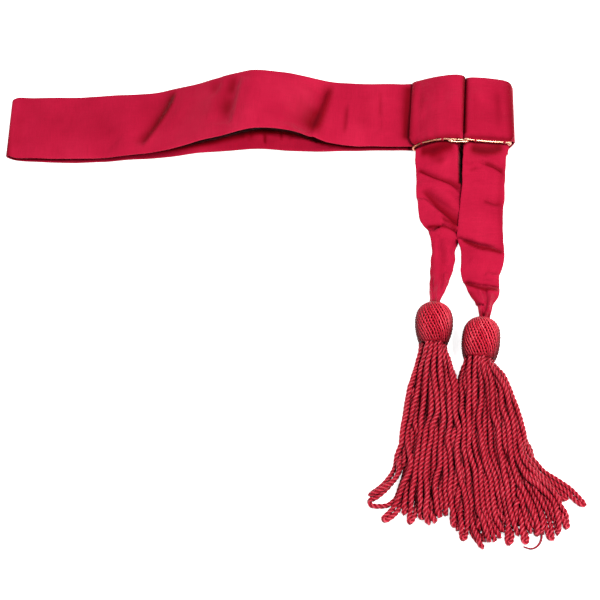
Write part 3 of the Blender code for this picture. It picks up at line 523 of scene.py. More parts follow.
def tucks(grid, table):
    """Move of each point under a table of tucks, whose crest leans back."""
    x, y = grid[..., 0], grid[..., 1]
    move = np.zeros(grid.shape)
    for path, front, back, height, lean, dip in table:
        smooth_path = spline(np.asarray(path, float), 2.0, lambda d: d)
        d, share, left = from_path(x, y, smooth_path)
        ends = 0.35 + 0.65 * smoothstep(share / 0.3) * smoothstep((1 - share) / 0.3)
        ends = np.where(share < 0.3, 1.0, ends)
        rise = np.where(d < 0, height * np.exp(-(d / front) ** 2),
                        height * np.exp(-(d / back) ** 2))
        hollow = np.where(d > 0, dip * np.exp(-((d - 3.4 * back) / (2.2 * back)) ** 2), 0.0)
        move[..., 2] += (rise - hollow) * ends
        reach = lean * np.exp(-(d / (1.6 * back)) ** 2) * ends
        move[..., 0] += left[..., 0] * reach
        move[..., 1] += left[..., 1] * reach
    return move


def normals(grid, wrap=False):
    """Unit normals of a grid of points, rows by columns."""
    if wrap:
        du = np.roll(grid, -1, axis=0) - np.roll(grid, 1, axis=0)
    else:
        du = np.gradient(grid, axis=0)
    dv = np.gradient(grid, axis=1)
    return unit(np.cross(dv, du))


class Builder:
    """Collects grids of points with two sets of UVs and makes one mesh."""

    def __init__(self):
        self.verts, self.faces, self.weave, self.bake = [], [], [], []
        self.count = 0

    def grid(self, points, weave, bake, wrap_u=False, wrap_v=False, flip=False):
        """points is (U, V, 3) in mm; weave and bake have one more row or
        column where the grid closes on itself."""
        U, V = points.shape[:2]
        base = self.count
        self.verts.append(points.reshape(-1, 3))
        self.count += U * V
        iu = np.arange(U if wrap_u else U - 1)
        iv = np.arange(V if wrap_v else V - 1)
        a, b = np.meshgrid(iu, iv, indexing="ij")
        a, b = a.ravel(), b.ravel()
        corners = [(a, b), (a, b + 1), (a + 1, b + 1), (a + 1, b)]
        if flip:
            corners = corners[::-1]
        quad = np.stack([base + (p % U) * V + (q % V) for p, q in corners], axis=1)
        self.faces.extend(quad.tolist())
        self.weave.append(np.stack([weave[p, q] for p, q in corners], axis=1).reshape(-1, 2))
        self.bake.append(np.stack([bake[p, q] for p, q in corners], axis=1).reshape(-1, 2))
        return base

    def polygon(self, ids, weave, bake):
        self.faces.append([int(i) for i in ids])
        self.weave.append(np.asarray(weave, float).reshape(-1, 2))
        self.bake.append(np.asarray(bake, float).reshape(-1, 2))

    def make(self, name, *materials, sharp=None):
        mesh = bpy.data.meshes.new(name)
        verts = (np.vstack(self.verts) + SHIFT) * MM
        mesh.from_pydata(verts.tolist(), [], self.faces)
        for title, parts in (("weave", self.weave), ("OFBake", self.bake)):
            layer = mesh.uv_layers.new(name=title)
            layer.data.foreach_set("uv", np.vstack(parts).astype(np.float32).ravel())
        mesh.uv_layers["weave"].active = True
        mesh.uv_layers["OFBake"].active_render = False
        mesh.uv_layers["weave"].active_render = True
        mesh.polygons.foreach_set("use_smooth", np.ones(len(mesh.polygons), bool))
        if sharp is not None:
            mesh.set_sharp_from_angle(angle=math.radians(sharp))
        # painted shade of the folds, shadows and slits, fixed on the mesh as a point attribute
        if name in SHADE_STROKES:
            layer = mesh.attributes.new("fold_shade", "FLOAT", "POINT")
            layer.data.foreach_set("value", fold_shade(np.vstack(self.verts), SHADE_STROKES[name])
                                   .astype(np.float32))
        for material in materials:
            mesh.materials.append(material)
        mesh.update()
        obj = bpy.data.objects.new(name, mesh)
        bpy.context.scene.collection.objects.link(obj)
        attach(obj, "root")
        return obj


def slab(name, centre, wall, material, wrap=False, rim=4, turn=4, squeeze=None):
    """Cloth of that wall round a grid of its middle surface (U along, V
    across), with rounded edges; closed along U where wrap is set."""
    U, V = centre.shape[:2]
    n = normals(centre, wrap)
    half = np.full((U, V, 1), wall / 2)
    if squeeze is not None:
        half = half * squeeze[..., None]
    along = np.concatenate([[0], np.cumsum(np.linalg.norm(
        np.diff(centre[:, V // 2], axis=0), axis=1))])
    span = np.concatenate([np.zeros((U, 1)), np.cumsum(np.linalg.norm(
        np.diff(centre, axis=1), axis=2), axis=1)], axis=1)
    if not wrap:
        head = unit(centre[0] - centre[1])
        tail_ = unit(centre[-1] - centre[-2])
        first, last = [], []
        for k in range(1, turn + 1):
            phi = math.pi / 2 * k / (turn + 0.15)
            first.insert(0, (centre[0] + head * half[0] * math.sin(phi), n[0],
                             half[0] * math.cos(phi), along[0] - wall / 2 * math.sin(phi), span[0]))
            last.append((centre[-1] + tail_ * half[-1] * math.sin(phi), n[-1],
                         half[-1] * math.cos(phi), along[-1] + wall / 2 * math.sin(phi), span[-1]))
        centre = np.concatenate([[f[0] for f in first], centre, [f[0] for f in last]])
        n = np.concatenate([[f[1] for f in first], n, [f[1] for f in last]])
        half = np.concatenate([[f[2] for f in first], half, [f[2] for f in last]])
        along = np.concatenate([[f[3] for f in first], along, [f[3] for f in last]])
        span = np.concatenate([[f[4] for f in first], span, [f[4] for f in last]])
        U = len(centre)
    left = unit(centre[:, 0] - centre[:, 1])
    right = unit(centre[:, -1] - centre[:, -2])
    top, under = centre + n * half, centre - n * half
    arc_r, arc_l = [], []
    for k in range(1, rim + 1):
        phi = math.pi * (0.5 - k / (rim + 1))
        arc_r.append(centre[:, -1] + (right * math.cos(phi) + n[:, -1] * math.sin(phi)) * half[:, -1])
        arc_l.append(centre[:, 0] + (left * math.cos(phi) - n[:, 0] * math.sin(phi)) * half[:, 0])
    section = np.concatenate([top, np.stack(arc_r, 1), under[:, ::-1], np.stack(arc_l, 1)], axis=1)
    S = section.shape[1]
    width = span[:, -1:]
    ks = (np.arange(1, rim + 1) / (rim + 1) * wall)[None, :]
    across = np.concatenate([span, width + ks, 2 * width + wall - span[:, ::-1],
                             2 * width + wall + ks, 2 * width + 2 * wall], axis=1)
    if wrap:
        lap = along[-1] + np.linalg.norm(centre[0, V // 2] - centre[-1, V // 2])
        along = np.append(along, lap)
        across = np.vstack([across, across[:1]])
    rows = len(along)
    weave = np.stack([across, np.repeat(along[:, None], S + 1, axis=1)], axis=2)
    bake_u = np.repeat(np.linspace(0, 1, S + 1)[None, :], rows, axis=0)
    bake_v = np.repeat(((along - along[0]) / (along[-1] - along[0]))[:, None], S + 1, axis=1)
    bake = np.stack([bake_u, bake_v], axis=2)
    b = Builder()
    base = b.grid(section, weave, bake, wrap_u=wrap, wrap_v=True)
    if not wrap:
        for r, back in ((0, False), (U - 1, True)):
            ids = base + r * S + np.arange(S)
            flat = [(ids[j], ids[j + 1], ids[2 * V + rim - 2 - j], ids[2 * V + rim - 1 - j])
                    for j in range(V - 1)]
            loops = [[ids[V - 1]] + list(ids[V:V + rim]) + [ids[V + rim]],
                     [ids[2 * V + rim - 1]] + list(ids[2 * V + rim:]) + [ids[0]]]
            for poly in [list(f) for f in flat] + loops:
                cols = [(i - base) % S for i in poly]
                if back:
                    poly, cols = poly[::-1], cols[::-1]
                b.polygon(poly[::-1], [weave[r, c] for c in cols[::-1]],
                          [bake[r, c] for c in cols[::-1]])
    return b.make(name, material)


def tube(b, path, radius, sides=10, closed=False, bake_row=(0.0, 1.0)):
    """A round tube along a path (N, 3), into builder b."""
    path = np.asarray(path, float)
    n, m = turning_frame(path, closed)
    a = np.arange(sides) * math.tau / sides
    r = np.broadcast_to(np.asarray(radius, float), (len(path),))
    pts = path[:, None] + (n[:, None] * np.cos(a)[None, :, None]
                           + m[:, None] * np.sin(a)[None, :, None]) * r[:, None, None]
    step = np.linalg.norm(np.diff(path, axis=0), axis=1)
    s = np.concatenate([[0], np.cumsum(step)])
    if closed:
        s = np.append(s, s[-1] + np.linalg.norm(path[0] - path[-1]))
    weave = np.stack(np.broadcast_arrays((np.arange(sides + 1) / sides)[None, :],
                                         s[:, None]), axis=2)
    v0, v1 = bake_row
    bake = np.stack(np.broadcast_arrays(v0 + (v1 - v0) * (np.arange(sides + 1) / sides)[None, :],
                                        (s / s[-1])[:, None]), axis=2)
    base = b.grid(pts, weave, bake, wrap_u=closed, wrap_v=True)
    if not closed:
        for r0, rev in ((0, True), (len(path) - 1, False)):
            ids = list(base + r0 * sides + np.arange(sides))
            if rev:
                ids = ids[::-1]
            b.polygon(ids, [weave[r0, 0]] * sides, [bake[r0, 0]] * sides)


def turning_frame(path, closed=False):
    """Two unit directions across the path that don't twist about it."""
    if closed:
        t = unit(np.roll(path, -1, axis=0) - np.roll(path, 1, axis=0))
    else:
        t = unit(np.gradient(path, axis=0))
    n = np.zeros_like(path)
    up = np.array([0.0, 0.0, 1.0])
    if abs(t[0] @ up) > 0.9:
        up = np.array([0.0, 1.0, 0.0])
    n[0] = up - t[0] * (t[0] @ up)
    n[0] /= np.linalg.norm(n[0])
    for i in range(1, len(path)):
        v = n[i - 1] - t[i] * (t[i] @ n[i - 1])
        n[i] = v / max(np.linalg.norm(v), 1e-9)
    if closed:
        m0 = np.cross(t[0], n[0])
        v = n[-1] - t[0] * (t[0] @ n[-1])
        off = math.atan2(v @ m0, v @ n[0])
        a = -off * np.arange(len(path)) / len(path)
        m = np.cross(t, n)
        n = n * np.cos(a)[:, None] + m * np.sin(a)[:, None]
    return n, np.cross(t, n)


# ----------------------------------------------------------------- materials
def new_material(name):
    mat = bpy.data.materials.new(name)
    mat.use_nodes = True
    tree = mat.node_tree
    shader = tree.nodes["Principled BSDF"]
    return mat, tree, shader


def node(tree, kind, **values):
    made = tree.nodes.new(kind)
    for key, value in values.items():
        if key.startswith("_"):
            made.inputs[key[1:].replace("_", " ")].default_value = value
        else:
            setattr(made, key, value)
    return made


def math_node(tree, operation, a, b=None, c=None):
    made = tree.nodes.new("ShaderNodeMath")
    made.operation = operation
    for slot, value in zip(made.inputs, (a, b, c)):
        if value is None:
            continue
        if isinstance(value, (int, float)):
            slot.default_value = value
        else:
            tree.links.new(value, slot)
    return made.outputs[0]


def ramp(tree, source, *stops):
    made = tree.nodes.new("ShaderNodeValToRGB")
    tree.links.new(source, made.inputs[0])
    points = made.color_ramp.elements
    while len(points) < len(stops):
        points.new(0.5)
    for point, (at, colour) in zip(points, stops):
        point.position = at
        point.color = colour
    return made.outputs[0]


def mix(tree, share, a, b, blend="MIX"):
    made = tree.nodes.new("ShaderNodeMix")
    made.data_type = "RGBA"
    made.blend_type = blend
    if isinstance(share, (int, float)):
        made.inputs[0].default_value = share
    else:
        tree.links.new(share, made.inputs[0])
    for slot, value in ((made.inputs[6], a), (made.inputs[7], b)):
        if isinstance(value, tuple):
            slot.default_value = value
        else:
            tree.links.new(value, slot)
    return made.outputs[2]


def noise(tree, vector, scale, detail=3.0, rough=0.55):
    made = node(tree, "ShaderNodeTexNoise", _Scale=scale, _Detail=detail, _Roughness=rough)
    tree.links.new(vector, made.inputs["Vector"])
    return made.outputs["Fac"]


def scaled(tree, vector, x, y, z=1.0):
    made = node(tree, "ShaderNodeMapping")
    made.inputs["Scale"].default_value = (x, y, z)
    tree.links.new(vector, made.inputs["Vector"])
    return made.outputs[0]


def silk(name, low, mid, high):
    """Ribbed silk: ribs across the strip, uneven yarns, a soft pinkish sheen."""
    mat, tree, shader = new_material(name)
    link = tree.links.new
    weave = node(tree, "ShaderNodeUVMap", uv_map="weave").outputs[0]
    place = node(tree, "ShaderNodeTexCoord").outputs["Object"]
    parts = node(tree, "ShaderNodeSeparateXYZ")
    link(weave, parts.inputs[0])
    across, along = parts.outputs[0], parts.outputs[1]
    wander = noise(tree, scaled(tree, weave, 0.02, 0.25), 1.0, 2.0)
    ribs = math_node(tree, "SINE", math_node(
        tree, "MULTIPLY_ADD", along, math.tau / 0.78,
        math_node(tree, "MULTIPLY", wander, 5.0)))
    slubs = noise(tree, scaled(tree, weave, 0.06, 1.9), 1.0, 3.0, 0.6)
    ends = noise(tree, scaled(tree, weave, 2.6, 0.05), 1.0, 2.0, 0.6)
    cloud = noise(tree, place, 22.0, 3.0, 0.5)
    broad = noise(tree, place, 6.5, 2.0, 0.5)
    tone = math_node(tree, "ADD", math_node(tree, "MULTIPLY", cloud, 0.5),
                     math_node(tree, "MULTIPLY", broad, 0.5))
    base = ramp(tree, tone, (0.34, low), (0.5, mid), (0.66, high))
    yarn = math_node(tree, "ADD", math_node(tree, "MULTIPLY", slubs, 0.6),
                     math_node(tree, "MULTIPLY", ends, 0.4))
    shade = ramp(tree, yarn, (0.3, (0.84, 0.80, 0.80, 1)), (0.7, (1.12, 1.16, 1.16, 1)))
    colour = mix(tree, 1.0, base, shade, "MULTIPLY")
    groove = ramp(tree, math_node(tree, "MULTIPLY_ADD", ribs, 0.5, 0.5),
                  (0.0, (0.86, 0.82, 0.82, 1)), (0.6, (1.04, 1.04, 1.04, 1)))
    colour = mix(tree, 0.8, colour, groove, "MULTIPLY")
    # painted shade: ambient occlusion darkens the colour in creases, under the arch and between layers of cloth
    depth = node(tree, "ShaderNodeAmbientOcclusion", samples=6, _Distance=0.016)
    depth.only_local = False
    shade = ramp(tree, depth.outputs["AO"], (0.12, (0.10, 0.05, 0.05, 1)), (0.45, (0.42, 0.30, 0.32, 1)),
                 (0.78, (0.86, 0.80, 0.82, 1)), (0.93, (1, 1, 1, 1)))
    colour = mix(tree, 1.0, colour, shade, "MULTIPLY")
    # painted shade along the drawn strokes, down to near black
    painted_shade_attr = node(tree, "ShaderNodeAttribute")
    painted_shade_attr.attribute_name = "fold_shade"
    colour = mix(tree, 1.0, colour, ramp(
        tree, painted_shade_attr.outputs["Fac"], (0.0, (1, 1, 1, 1)), (0.5, (0.50, 0.16, 0.22, 1)),
        (1.0, (0.012, 0.0005, 0.0005, 1))), "MULTIPLY")
    link(colour, shader.inputs["Base Color"])
    link(math_node(tree, "MULTIPLY_ADD", yarn, 0.22, 0.44), shader.inputs["Roughness"])
    height = math_node(tree, "ADD", math_node(tree, "MULTIPLY", ribs, 0.5),
                       math_node(tree, "ADD", math_node(tree, "MULTIPLY", slubs, 1.1),
                                 math_node(tree, "MULTIPLY", ends, 0.7)))
    bump = node(tree, "ShaderNodeBump", _Strength=0.35, _Distance=0.00012)
    link(height, bump.inputs["Height"])
    soft = node(tree, "ShaderNodeBump", _Strength=0.30, _Distance=0.0012)
    link(noise(tree, place, 70.0, 3.0, 0.5), soft.inputs["Height"])
    link(soft.outputs[0], bump.inputs["Normal"])
    link(bump.outputs[0], shader.inputs["Normal"])
    shader.inputs["Sheen Weight"].default_value = 0.03
    shader.inputs["Sheen Roughness"].default_value = 0.38
    shader.inputs["Sheen Tint"].default_value = (1.0, 0.16, 0.28, 1.0)
    shader.inputs["Specular IOR Level"].default_value = 0.10
    shader.inputs["Specular Tint"].default_value = (1.0, 0.20, 0.32, 1.0)
    return mat


def cord_material(name, dark, mid, high, plies, ply_lines, twist, sides=None):
    """Twisted yarn: painted shade between the plies, painted highlights on their
    crowns, fine yarns. The weave UV has the turn round the cord in x and
    millimetres in y."""
    mat, tree, shader = new_material(name)
    link = tree.links.new
    weave = node(tree, "ShaderNodeUVMap", uv_map="weave").outputs[0]
    place = node(tree, "ShaderNodeTexCoord").outputs["Object"]
    parts = node(tree, "ShaderNodeSeparateXYZ")
    link(weave, parts.inputs[0])
    turn, along = parts.outputs[0], parts.outputs[1]
    lobe = math_node(tree, "MULTIPLY_ADD",
                     math_node(tree, "COSINE", math_node(tree, "MULTIPLY", turn, math.tau * plies)),
                     0.5, 0.5)
    yarns = math_node(tree, "SINE", math_node(
        tree, "ADD", math_node(tree, "MULTIPLY", turn, math.tau * ply_lines),
        math_node(tree, "MULTIPLY", along, twist)))
    fuzz = noise(tree, place, 900.0, 3.0, 0.6)
    cloud = noise(tree, place, 38.0, 2.0, 0.5)
    tone = math_node(tree, "ADD", math_node(tree, "MULTIPLY", lobe, 0.62),
                     math_node(tree, "ADD", math_node(tree, "MULTIPLY", yarns, 0.07),
                               math_node(tree, "ADD",
                                         math_node(tree, "MULTIPLY", fuzz, 0.22),
                                         math_node(tree, "MULTIPLY", cloud, 0.26))))
    # painted shade in the grooves between the plies and a painted highlight on their crowns
    base = ramp(tree, tone, (0.18, dark), (0.52, mid), (0.72, tuple(m * 1.10 for m in mid[:3]) + (1,)),
                (0.95, high))
    # painted shade: ambient occlusion darkens the colour between cords and under them
    depth = node(tree, "ShaderNodeAmbientOcclusion", samples=4, _Distance=0.009)
    shade = ramp(tree, depth.outputs["AO"], (0.10, (0.10, 0.04, 0.04, 1)), (0.50, (0.66, 0.50, 0.52, 1)),
                 (0.80, (1, 1, 1, 1)))
    colour = mix(tree, 1.0, base, shade, "MULTIPLY")
    if sides:
        # painted shade: what faces sideways or down is darker by its normal
        facing = node(tree, "ShaderNodeSeparateXYZ")
        link(node(tree, "ShaderNodeNewGeometry").outputs["Normal"], facing.inputs[0])
        colour = mix(tree, 1.0, colour, ramp(
            tree, facing.outputs[2], (0.05, sides), (0.82, (1, 1, 1, 1))), "MULTIPLY")
        # painted shade on the sides of the head as a whole
        painted_shade_attr = node(tree, "ShaderNodeAttribute")
        painted_shade_attr.attribute_name = "head_shade"
        colour = mix(tree, 1.0, colour, ramp(
            tree, painted_shade_attr.outputs["Fac"], (0.0, (1, 1, 1, 1)), (0.50, (0.62, 0.50, 0.55, 1)),
            (0.90, (0.20, 0.09, 0.12, 1))), "MULTIPLY")
    link(colour, shader.inputs["Base Color"])
    link(math_node(tree, "MULTIPLY_ADD", fuzz, 0.25, 0.24), shader.inputs["Roughness"])
    bump = node(tree, "ShaderNodeBump", _Strength=0.5, _Distance=0.00022)
    link(math_node(tree, "ADD", math_node(tree, "MULTIPLY", yarns, 0.6), fuzz), bump.inputs["Height"])
    link(bump.outputs[0], shader.inputs["Normal"])
    shader.inputs["Sheen Weight"].default_value = 0.14
    shader.inputs["Sheen Roughness"].default_value = 0.35
    shader.inputs["Sheen Tint"].default_value = (1.0, 0.25, 0.36, 1.0)
    shader.inputs["Specular IOR Level"].default_value = 0.34
    shader.inputs["Specular Tint"].default_value = (1.0, 0.40, 0.48, 1.0)
    return mat


def gilt_material():
    mat, tree, shader = new_material("gilt")
    link = tree.links.new
    place = node(tree, "ShaderNodeTexCoord").outputs["Object"]
    worn = noise(tree, place, 120.0, 3.0, 0.5)
    fine = noise(tree, place, 900.0, 2.0, 0.5)
    link(ramp(tree, worn, (0.30, (0.50, 0.20, 0.11, 1)), (0.5, (0.70, 0.34, 0.22, 1)),
              (0.72, (0.86, 0.50, 0.37, 1))), shader.inputs["Base Color"])
    link(math_node(tree, "MULTIPLY_ADD", worn, 0.20, 0.24), shader.inputs["Roughness"])
    bump = node(tree, "ShaderNodeBump", _Strength=0.05, _Distance=0.0001)
    link(math_node(tree, "ADD", worn, fine), bump.inputs["Height"])
    link(bump.outputs[0], shader.inputs["Normal"])
    shader.inputs["Metallic"].default_value = 1.0
    return mat


SILK = silk("silk_faille", (0.325, 0.0047, 0.0260, 1), (0.400, 0.0072, 0.0355, 1), (0.480, 0.0120, 0.0480, 1))
# a hair lighter copy of the silk for the tails: painted light
SILK_TAIL = silk("silk_faille_tails", (0.325, 0.0047, 0.0260, 1), (0.402, 0.0074, 0.0358, 1), (0.485, 0.0122, 0.0485, 1))
# cords: the pinkish high colour is a painted highlight on the ply crowns, the dark colour painted shade between them
CORD_MAT = cord_material("cord_yarn", (0.140, 0.0003, 0.0020, 1), (0.385, 0.0036, 0.0195, 1),
                         (0.66, 0.085, 0.120, 1), 3, 21, 0.9)
# net threads: the pinkish high colour is a painted glint, and the last colour is painted shade on the sides
NET_MAT = cord_material("net_thread", (0.23, 0.0009, 0.006, 1), (0.55, 0.0082, 0.033, 1),
                        (0.93, 0.152, 0.190, 1), 2, 6, 4.0, (0.26, 0.10, 0.14, 1))
NET_MAT.node_tree.nodes["Principled BSDF"].inputs["Sheen Weight"].default_value = 0.0
NET_MAT.node_tree.nodes["Principled BSDF"].inputs["Specular IOR Level"].default_value = 0.16
# the core is coloured darker than the threads: painted shade in the net's holes
CORE_MAT = cord_material("head_core", (0.10, 0.0004, 0.002, 1), (0.20, 0.0010, 0.006, 1),
                         (0.28, 0.0020, 0.012, 1), 60, 120, 3.0)
CORE_MAT.node_tree.nodes["Principled BSDF"].inputs["Specular IOR Level"].default_value = 0.05
YARN_MAT = cord_material("loose_yarn", (0.03, 0.0004, 0.001, 1), (0.17, 0.0024, 0.009, 1),
                         (0.34, 0.012, 0.028, 1), 2, 6, 4.0)
THREAD_MAT = cord_material("stitch_thread", (0.16, 0.001, 0.006, 1), (0.42, 0.006, 0.030, 1),
                           (0.62, 0.020, 0.065, 1), 2, 6, 4.0)
GILT = gilt_material()


# ---------------------------------------------------------------------- band
def make_band():
    """The whole waistband: one ring of cloth, folded flat."""
    low = BAND_WALL / 2
    mid = lambda d: (d[:, 0:3] + d[:, 3:6]) / 2
    upper = spline(UPPER, 1.6, mid)
    lower = np.array([(r[0], r[1], low, r[2], r[3], low) for r in LOWER])
    lower = spline(lower, 2.6, mid)
    fold = []
    steps = 10
    first, last = upper[0], upper[-1]
    for k in range(1, steps):
        turn = math.pi * (1 - k / steps)
        ends = []
        for x, y, z in (first[:3], first[3:]):
            r = (z - low) / 2
            ends += [x - r * math.sin(turn), y, low + r + r * math.cos(turn)]
        fold.append(ends)
    bend = []
    for k in range(1, 16):
        turn = math.pi * k / 16
        z = low + BEND_RADIUS * (1 + math.cos(turn))
        x = last[0] + BEND_RADIUS * math.sin(turn)
        bend.append([x, last[1], z, x, last[4], z])
    rows = np.vstack([fold, upper, bend, lower[::-1][:-1]])
    kind = np.array([0] * len(fold) + [1] * len(upper) + [0] * len(bend) + [2] * (len(lower) - 1))
    V = 34
    share = np.linspace(0, 1, V)[None, :, None]
    centre = rows[:, None, :3] * (1 - share) + rows[:, None, 3:] * share
    x, y = centre[..., 0], centre[..., 1]
    s = share[..., 0]
    up = (kind == 1)[:, None]
    down = (kind == 2)[:, None]
    # how far each row is from the ends of its stretch, so that the fold and
    # the bend stay whole
    free = np.ones(len(rows))
    for k in (1, 2):
        at = np.where(kind == k)[0]
        rank = np.arange(len(at))
        free[at] = smoothstep(rank / 8.0) * smoothstep((len(at) - 1 - rank) / 8.0)
    free[kind == 0] = 0
    free = free[:, None]
    rise = np.zeros(x.shape)
    rise += np.where(up, creases(centre, BAND_CREASES) + one_sided(centre, BAND_STEPS), 0)
    under_keeper = smoothstep((x - 98) / 10.0)
    rise += np.where(up, ripple(x, y, 3, ((90, 0.5), (42, 0.28), (19, 0.08))), 0)
    rise *= np.where(up, 1 - under_keeper, 1)
    # the lower stretch: its near edge stands a little off the surface under
    # the arch, and it is faintly wavy
    lip = spline(LIP, 3.0, lambda d: d[:, :2])
    drop = np.interp(x, lip[:, 0], lip[:, 1])
    stand = np.interp(x, lip[:, 0], lip[:, 2])
    lift = stand * np.where(y < drop, 0.55 + 0.45 * np.exp(-((y - drop) / 9.0) ** 2),
                            np.exp(-((y - drop) / 2.6) ** 2))
    waves = creases(centre, LOWER_CREASES) + ripple(x, y, 8, ((70, 0.35), (28, 0.12)))
    rise += np.where(down, lift + np.maximum(waves, -0.1) * 1.0 + 0.1, 0)
    # a cloth strip is never quite flat across: the edges curl by a hair
    curl = 0.35 * (np.abs(2 * s - 1) ** 6)
    rise += np.where(up, -curl, 0)
    centre[..., 2] += rise * free
    # the corners of the fold and of the bend are rounded
    for at, reach, cut, near in ((-281.0, 5.0, 4.6, 0.45), (206.0, 5.0, 3.4, 1.7)):
        round_ = cut * np.exp(-((x - at) / reach) ** 2)
        centre[..., 1] += round_ * (near * (1 - s) ** 6 - s ** 6)
    # edges wander a little in plan
    edge = 0.45 * ripple(x, y * 0, 5, ((60, 0.8), (23, 0.35)))
    centre[..., 1] += edge * free * (2 * s - 1) * (1 - under_keeper)
    centre[..., 2] = np.where(down, np.maximum(centre[..., 2], low), centre[..., 2])
    centre = centre[::-1]
    obj = slab("band", centre, BAND_WALL, SILK, wrap=True)
    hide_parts("band_upper", "band_lower")
    return obj


# -------------------------------------------------------------------- keeper
def make_strap(name, table, seed, left_roll, right_roll):
    rows = np.array(table, float)
    cols = spline(rows, 1.7, lambda d: d[:, :3])
    columns = []
    for hx, hy, hz, fx, fy, fz, bx in cols:
        hem = np.array([hx, hy, hz])
        far = np.array([fx, fy, fz])
        half = (fz - BACK_PANEL_Z) / 2
        line = [hem + (far - hem) * k / 40 for k in range(41)]
        for k in range(1, 15):
            turn = math.pi * k / 15
            x = fx + (bx - fx) * k / 15
            line.append(np.array([x, fy + TURN_DEPTH * math.sin(turn),
                                  BACK_PANEL_Z + half * (1 + math.cos(turn))]))
        start, end = np.array([bx, fy, BACK_PANEL_Z]), np.array([bx, 169.0, BACK_PANEL_Z])
        line += [start + (end - start) * k / 28 for k in range(29)]
        columns.append(line)
    centre = np.array(columns).transpose(1, 0, 2)
    U, V = centre.shape[:2]
    u = np.arange(U)[:, None]
    s = np.linspace(0, 1, V)[None, :]
    x, y = centre[..., 0], centre[..., 1]
    front = smoothstep((44 - u) / 10.0)
    width = 49.0
    from_left, from_right = s * width, (1 - s) * width
    dome = 1.0 - 0.9 * np.exp(-(from_left / left_roll) ** 2) - 0.7 * np.exp(-(from_right / right_roll) ** 2)
    rise = 1.1 * dome + np.zeros(x.shape)
    rise += ripple(x, y, seed, ((46, 0.45), (20, 0.16)))
    near_hem = np.exp(-(u / 6.0))
    rise += near_hem * (0.55 * np.sin(x * math.tau / 9.5 + seed) + 0.25 * np.sin(x * math.tau / 4.3))
    rise -= 0.9 * np.exp(-((u - 3.0) / 2.2) ** 2) * 0.5
    rise += creases(centre, STRAP_DENTS[name])
    centre[..., 2] += np.maximum(rise, -0.4) * front
    centre = centre[:, ::-1]
    obj = slab(name + "_cloth", centre[::-1], KEEPER_WALL, SILK)
    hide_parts(name)
    return obj


STRAP_DENTS = {
    "strap_left": [
        ([(137.1, 229.1), (138.6, 207.6), (140.0, 196.0)], 3.0, -0.5, 0.3),
        ([(122.2, 211.3), (120.0, 186.0)], 2.8, -0.6, 0.3),
        ([(129.0, 215.0), (129.5, 186.0)], 4.0, 0.4, 0.3),
        ([(147.0, 226.0), (146.0, 176.0)], 4.0, 0.35, 0.3),
        ([(112.0, 172.0), (124.0, 170.0), (136.0, 171.0)], 2.4, 0.4, 0.3),
    ],
    "strap_right": [
        ([(184.6, 233.0), (186.0, 206.0), (187.7, 175.0)], 4.5, -0.7, 0.3),
        ([(197.8, 219.1), (198.4, 178.9)], 3.4, -0.4, 0.3),
        ([(170.0, 228.0), (169.0, 180.0)], 5.0, 0.45, 0.3),
        ([(193.0, 226.0), (193.5, 190.0)], 3.0, 0.35, 0.3),
    ],
}


# ---------------------------------------------------------------- wire rings
def make_ring(name, bars, seed, radius):
    """A closed wire loop from its upper bar and its lower bar."""
    upper, lower = (spline(line, 1.4) for line in bars)
    ends = []
    for a, b in ((upper[-1], lower[-1]), (lower[0], upper[0])):
        mid = (a + b) / 2
        out = mid - (upper[len(upper) // 2] + lower[len(lower) // 2]) / 2
        out = out - unit(a - b) * (out @ unit(a - b))
        half = np.linalg.norm(a - b) / 2
        ends.append([mid + unit(a - mid) * half * math.cos(t) + unit(out) * half * 0.9 * math.sin(t)
                     for t in np.linspace(0, math.pi, 14)[1:-1]])
    path = np.vstack([upper, ends[0], lower[::-1], ends[1]])
    n = len(path)
    t = np.arange(n) / n
    rng = np.random.default_rng(seed)
    wobble = sum(rng.uniform(-0.08, 0.08) * np.sin(math.tau * (k * t + rng.uniform()))
                 for k in range(3, 9))
    path = path + np.array([0.0, 0.5, 0.866]) * wobble[:, None]
    b = Builder()
    tube(b, path, radius * (1 + 0.03 * np.sin(math.tau * t * 9)), sides=14, closed=True)
    return b.make(name, GILT)


def wrap_of_thread(b, at, axis, radius, turns, thread, row):
    """Thread wound round a wire at a point."""
    axis = unit(np.asarray(axis, float))
    side = unit(np.cross(axis, [0.0, 0.0, 1.0]))
    up = np.cross(side, axis)
    k = np.linspace(0, turns * math.tau, int(turns * 14) + 1)
    shift = (k / math.tau - turns / 2) * thread * 2.02
    path = (at + axis * shift[:, None]
            + (side * np.cos(k)[:, None] + up * np.sin(k)[:, None]) * (radius + thread))
    tube(b, path, thread, sides=7, bake_row=row)


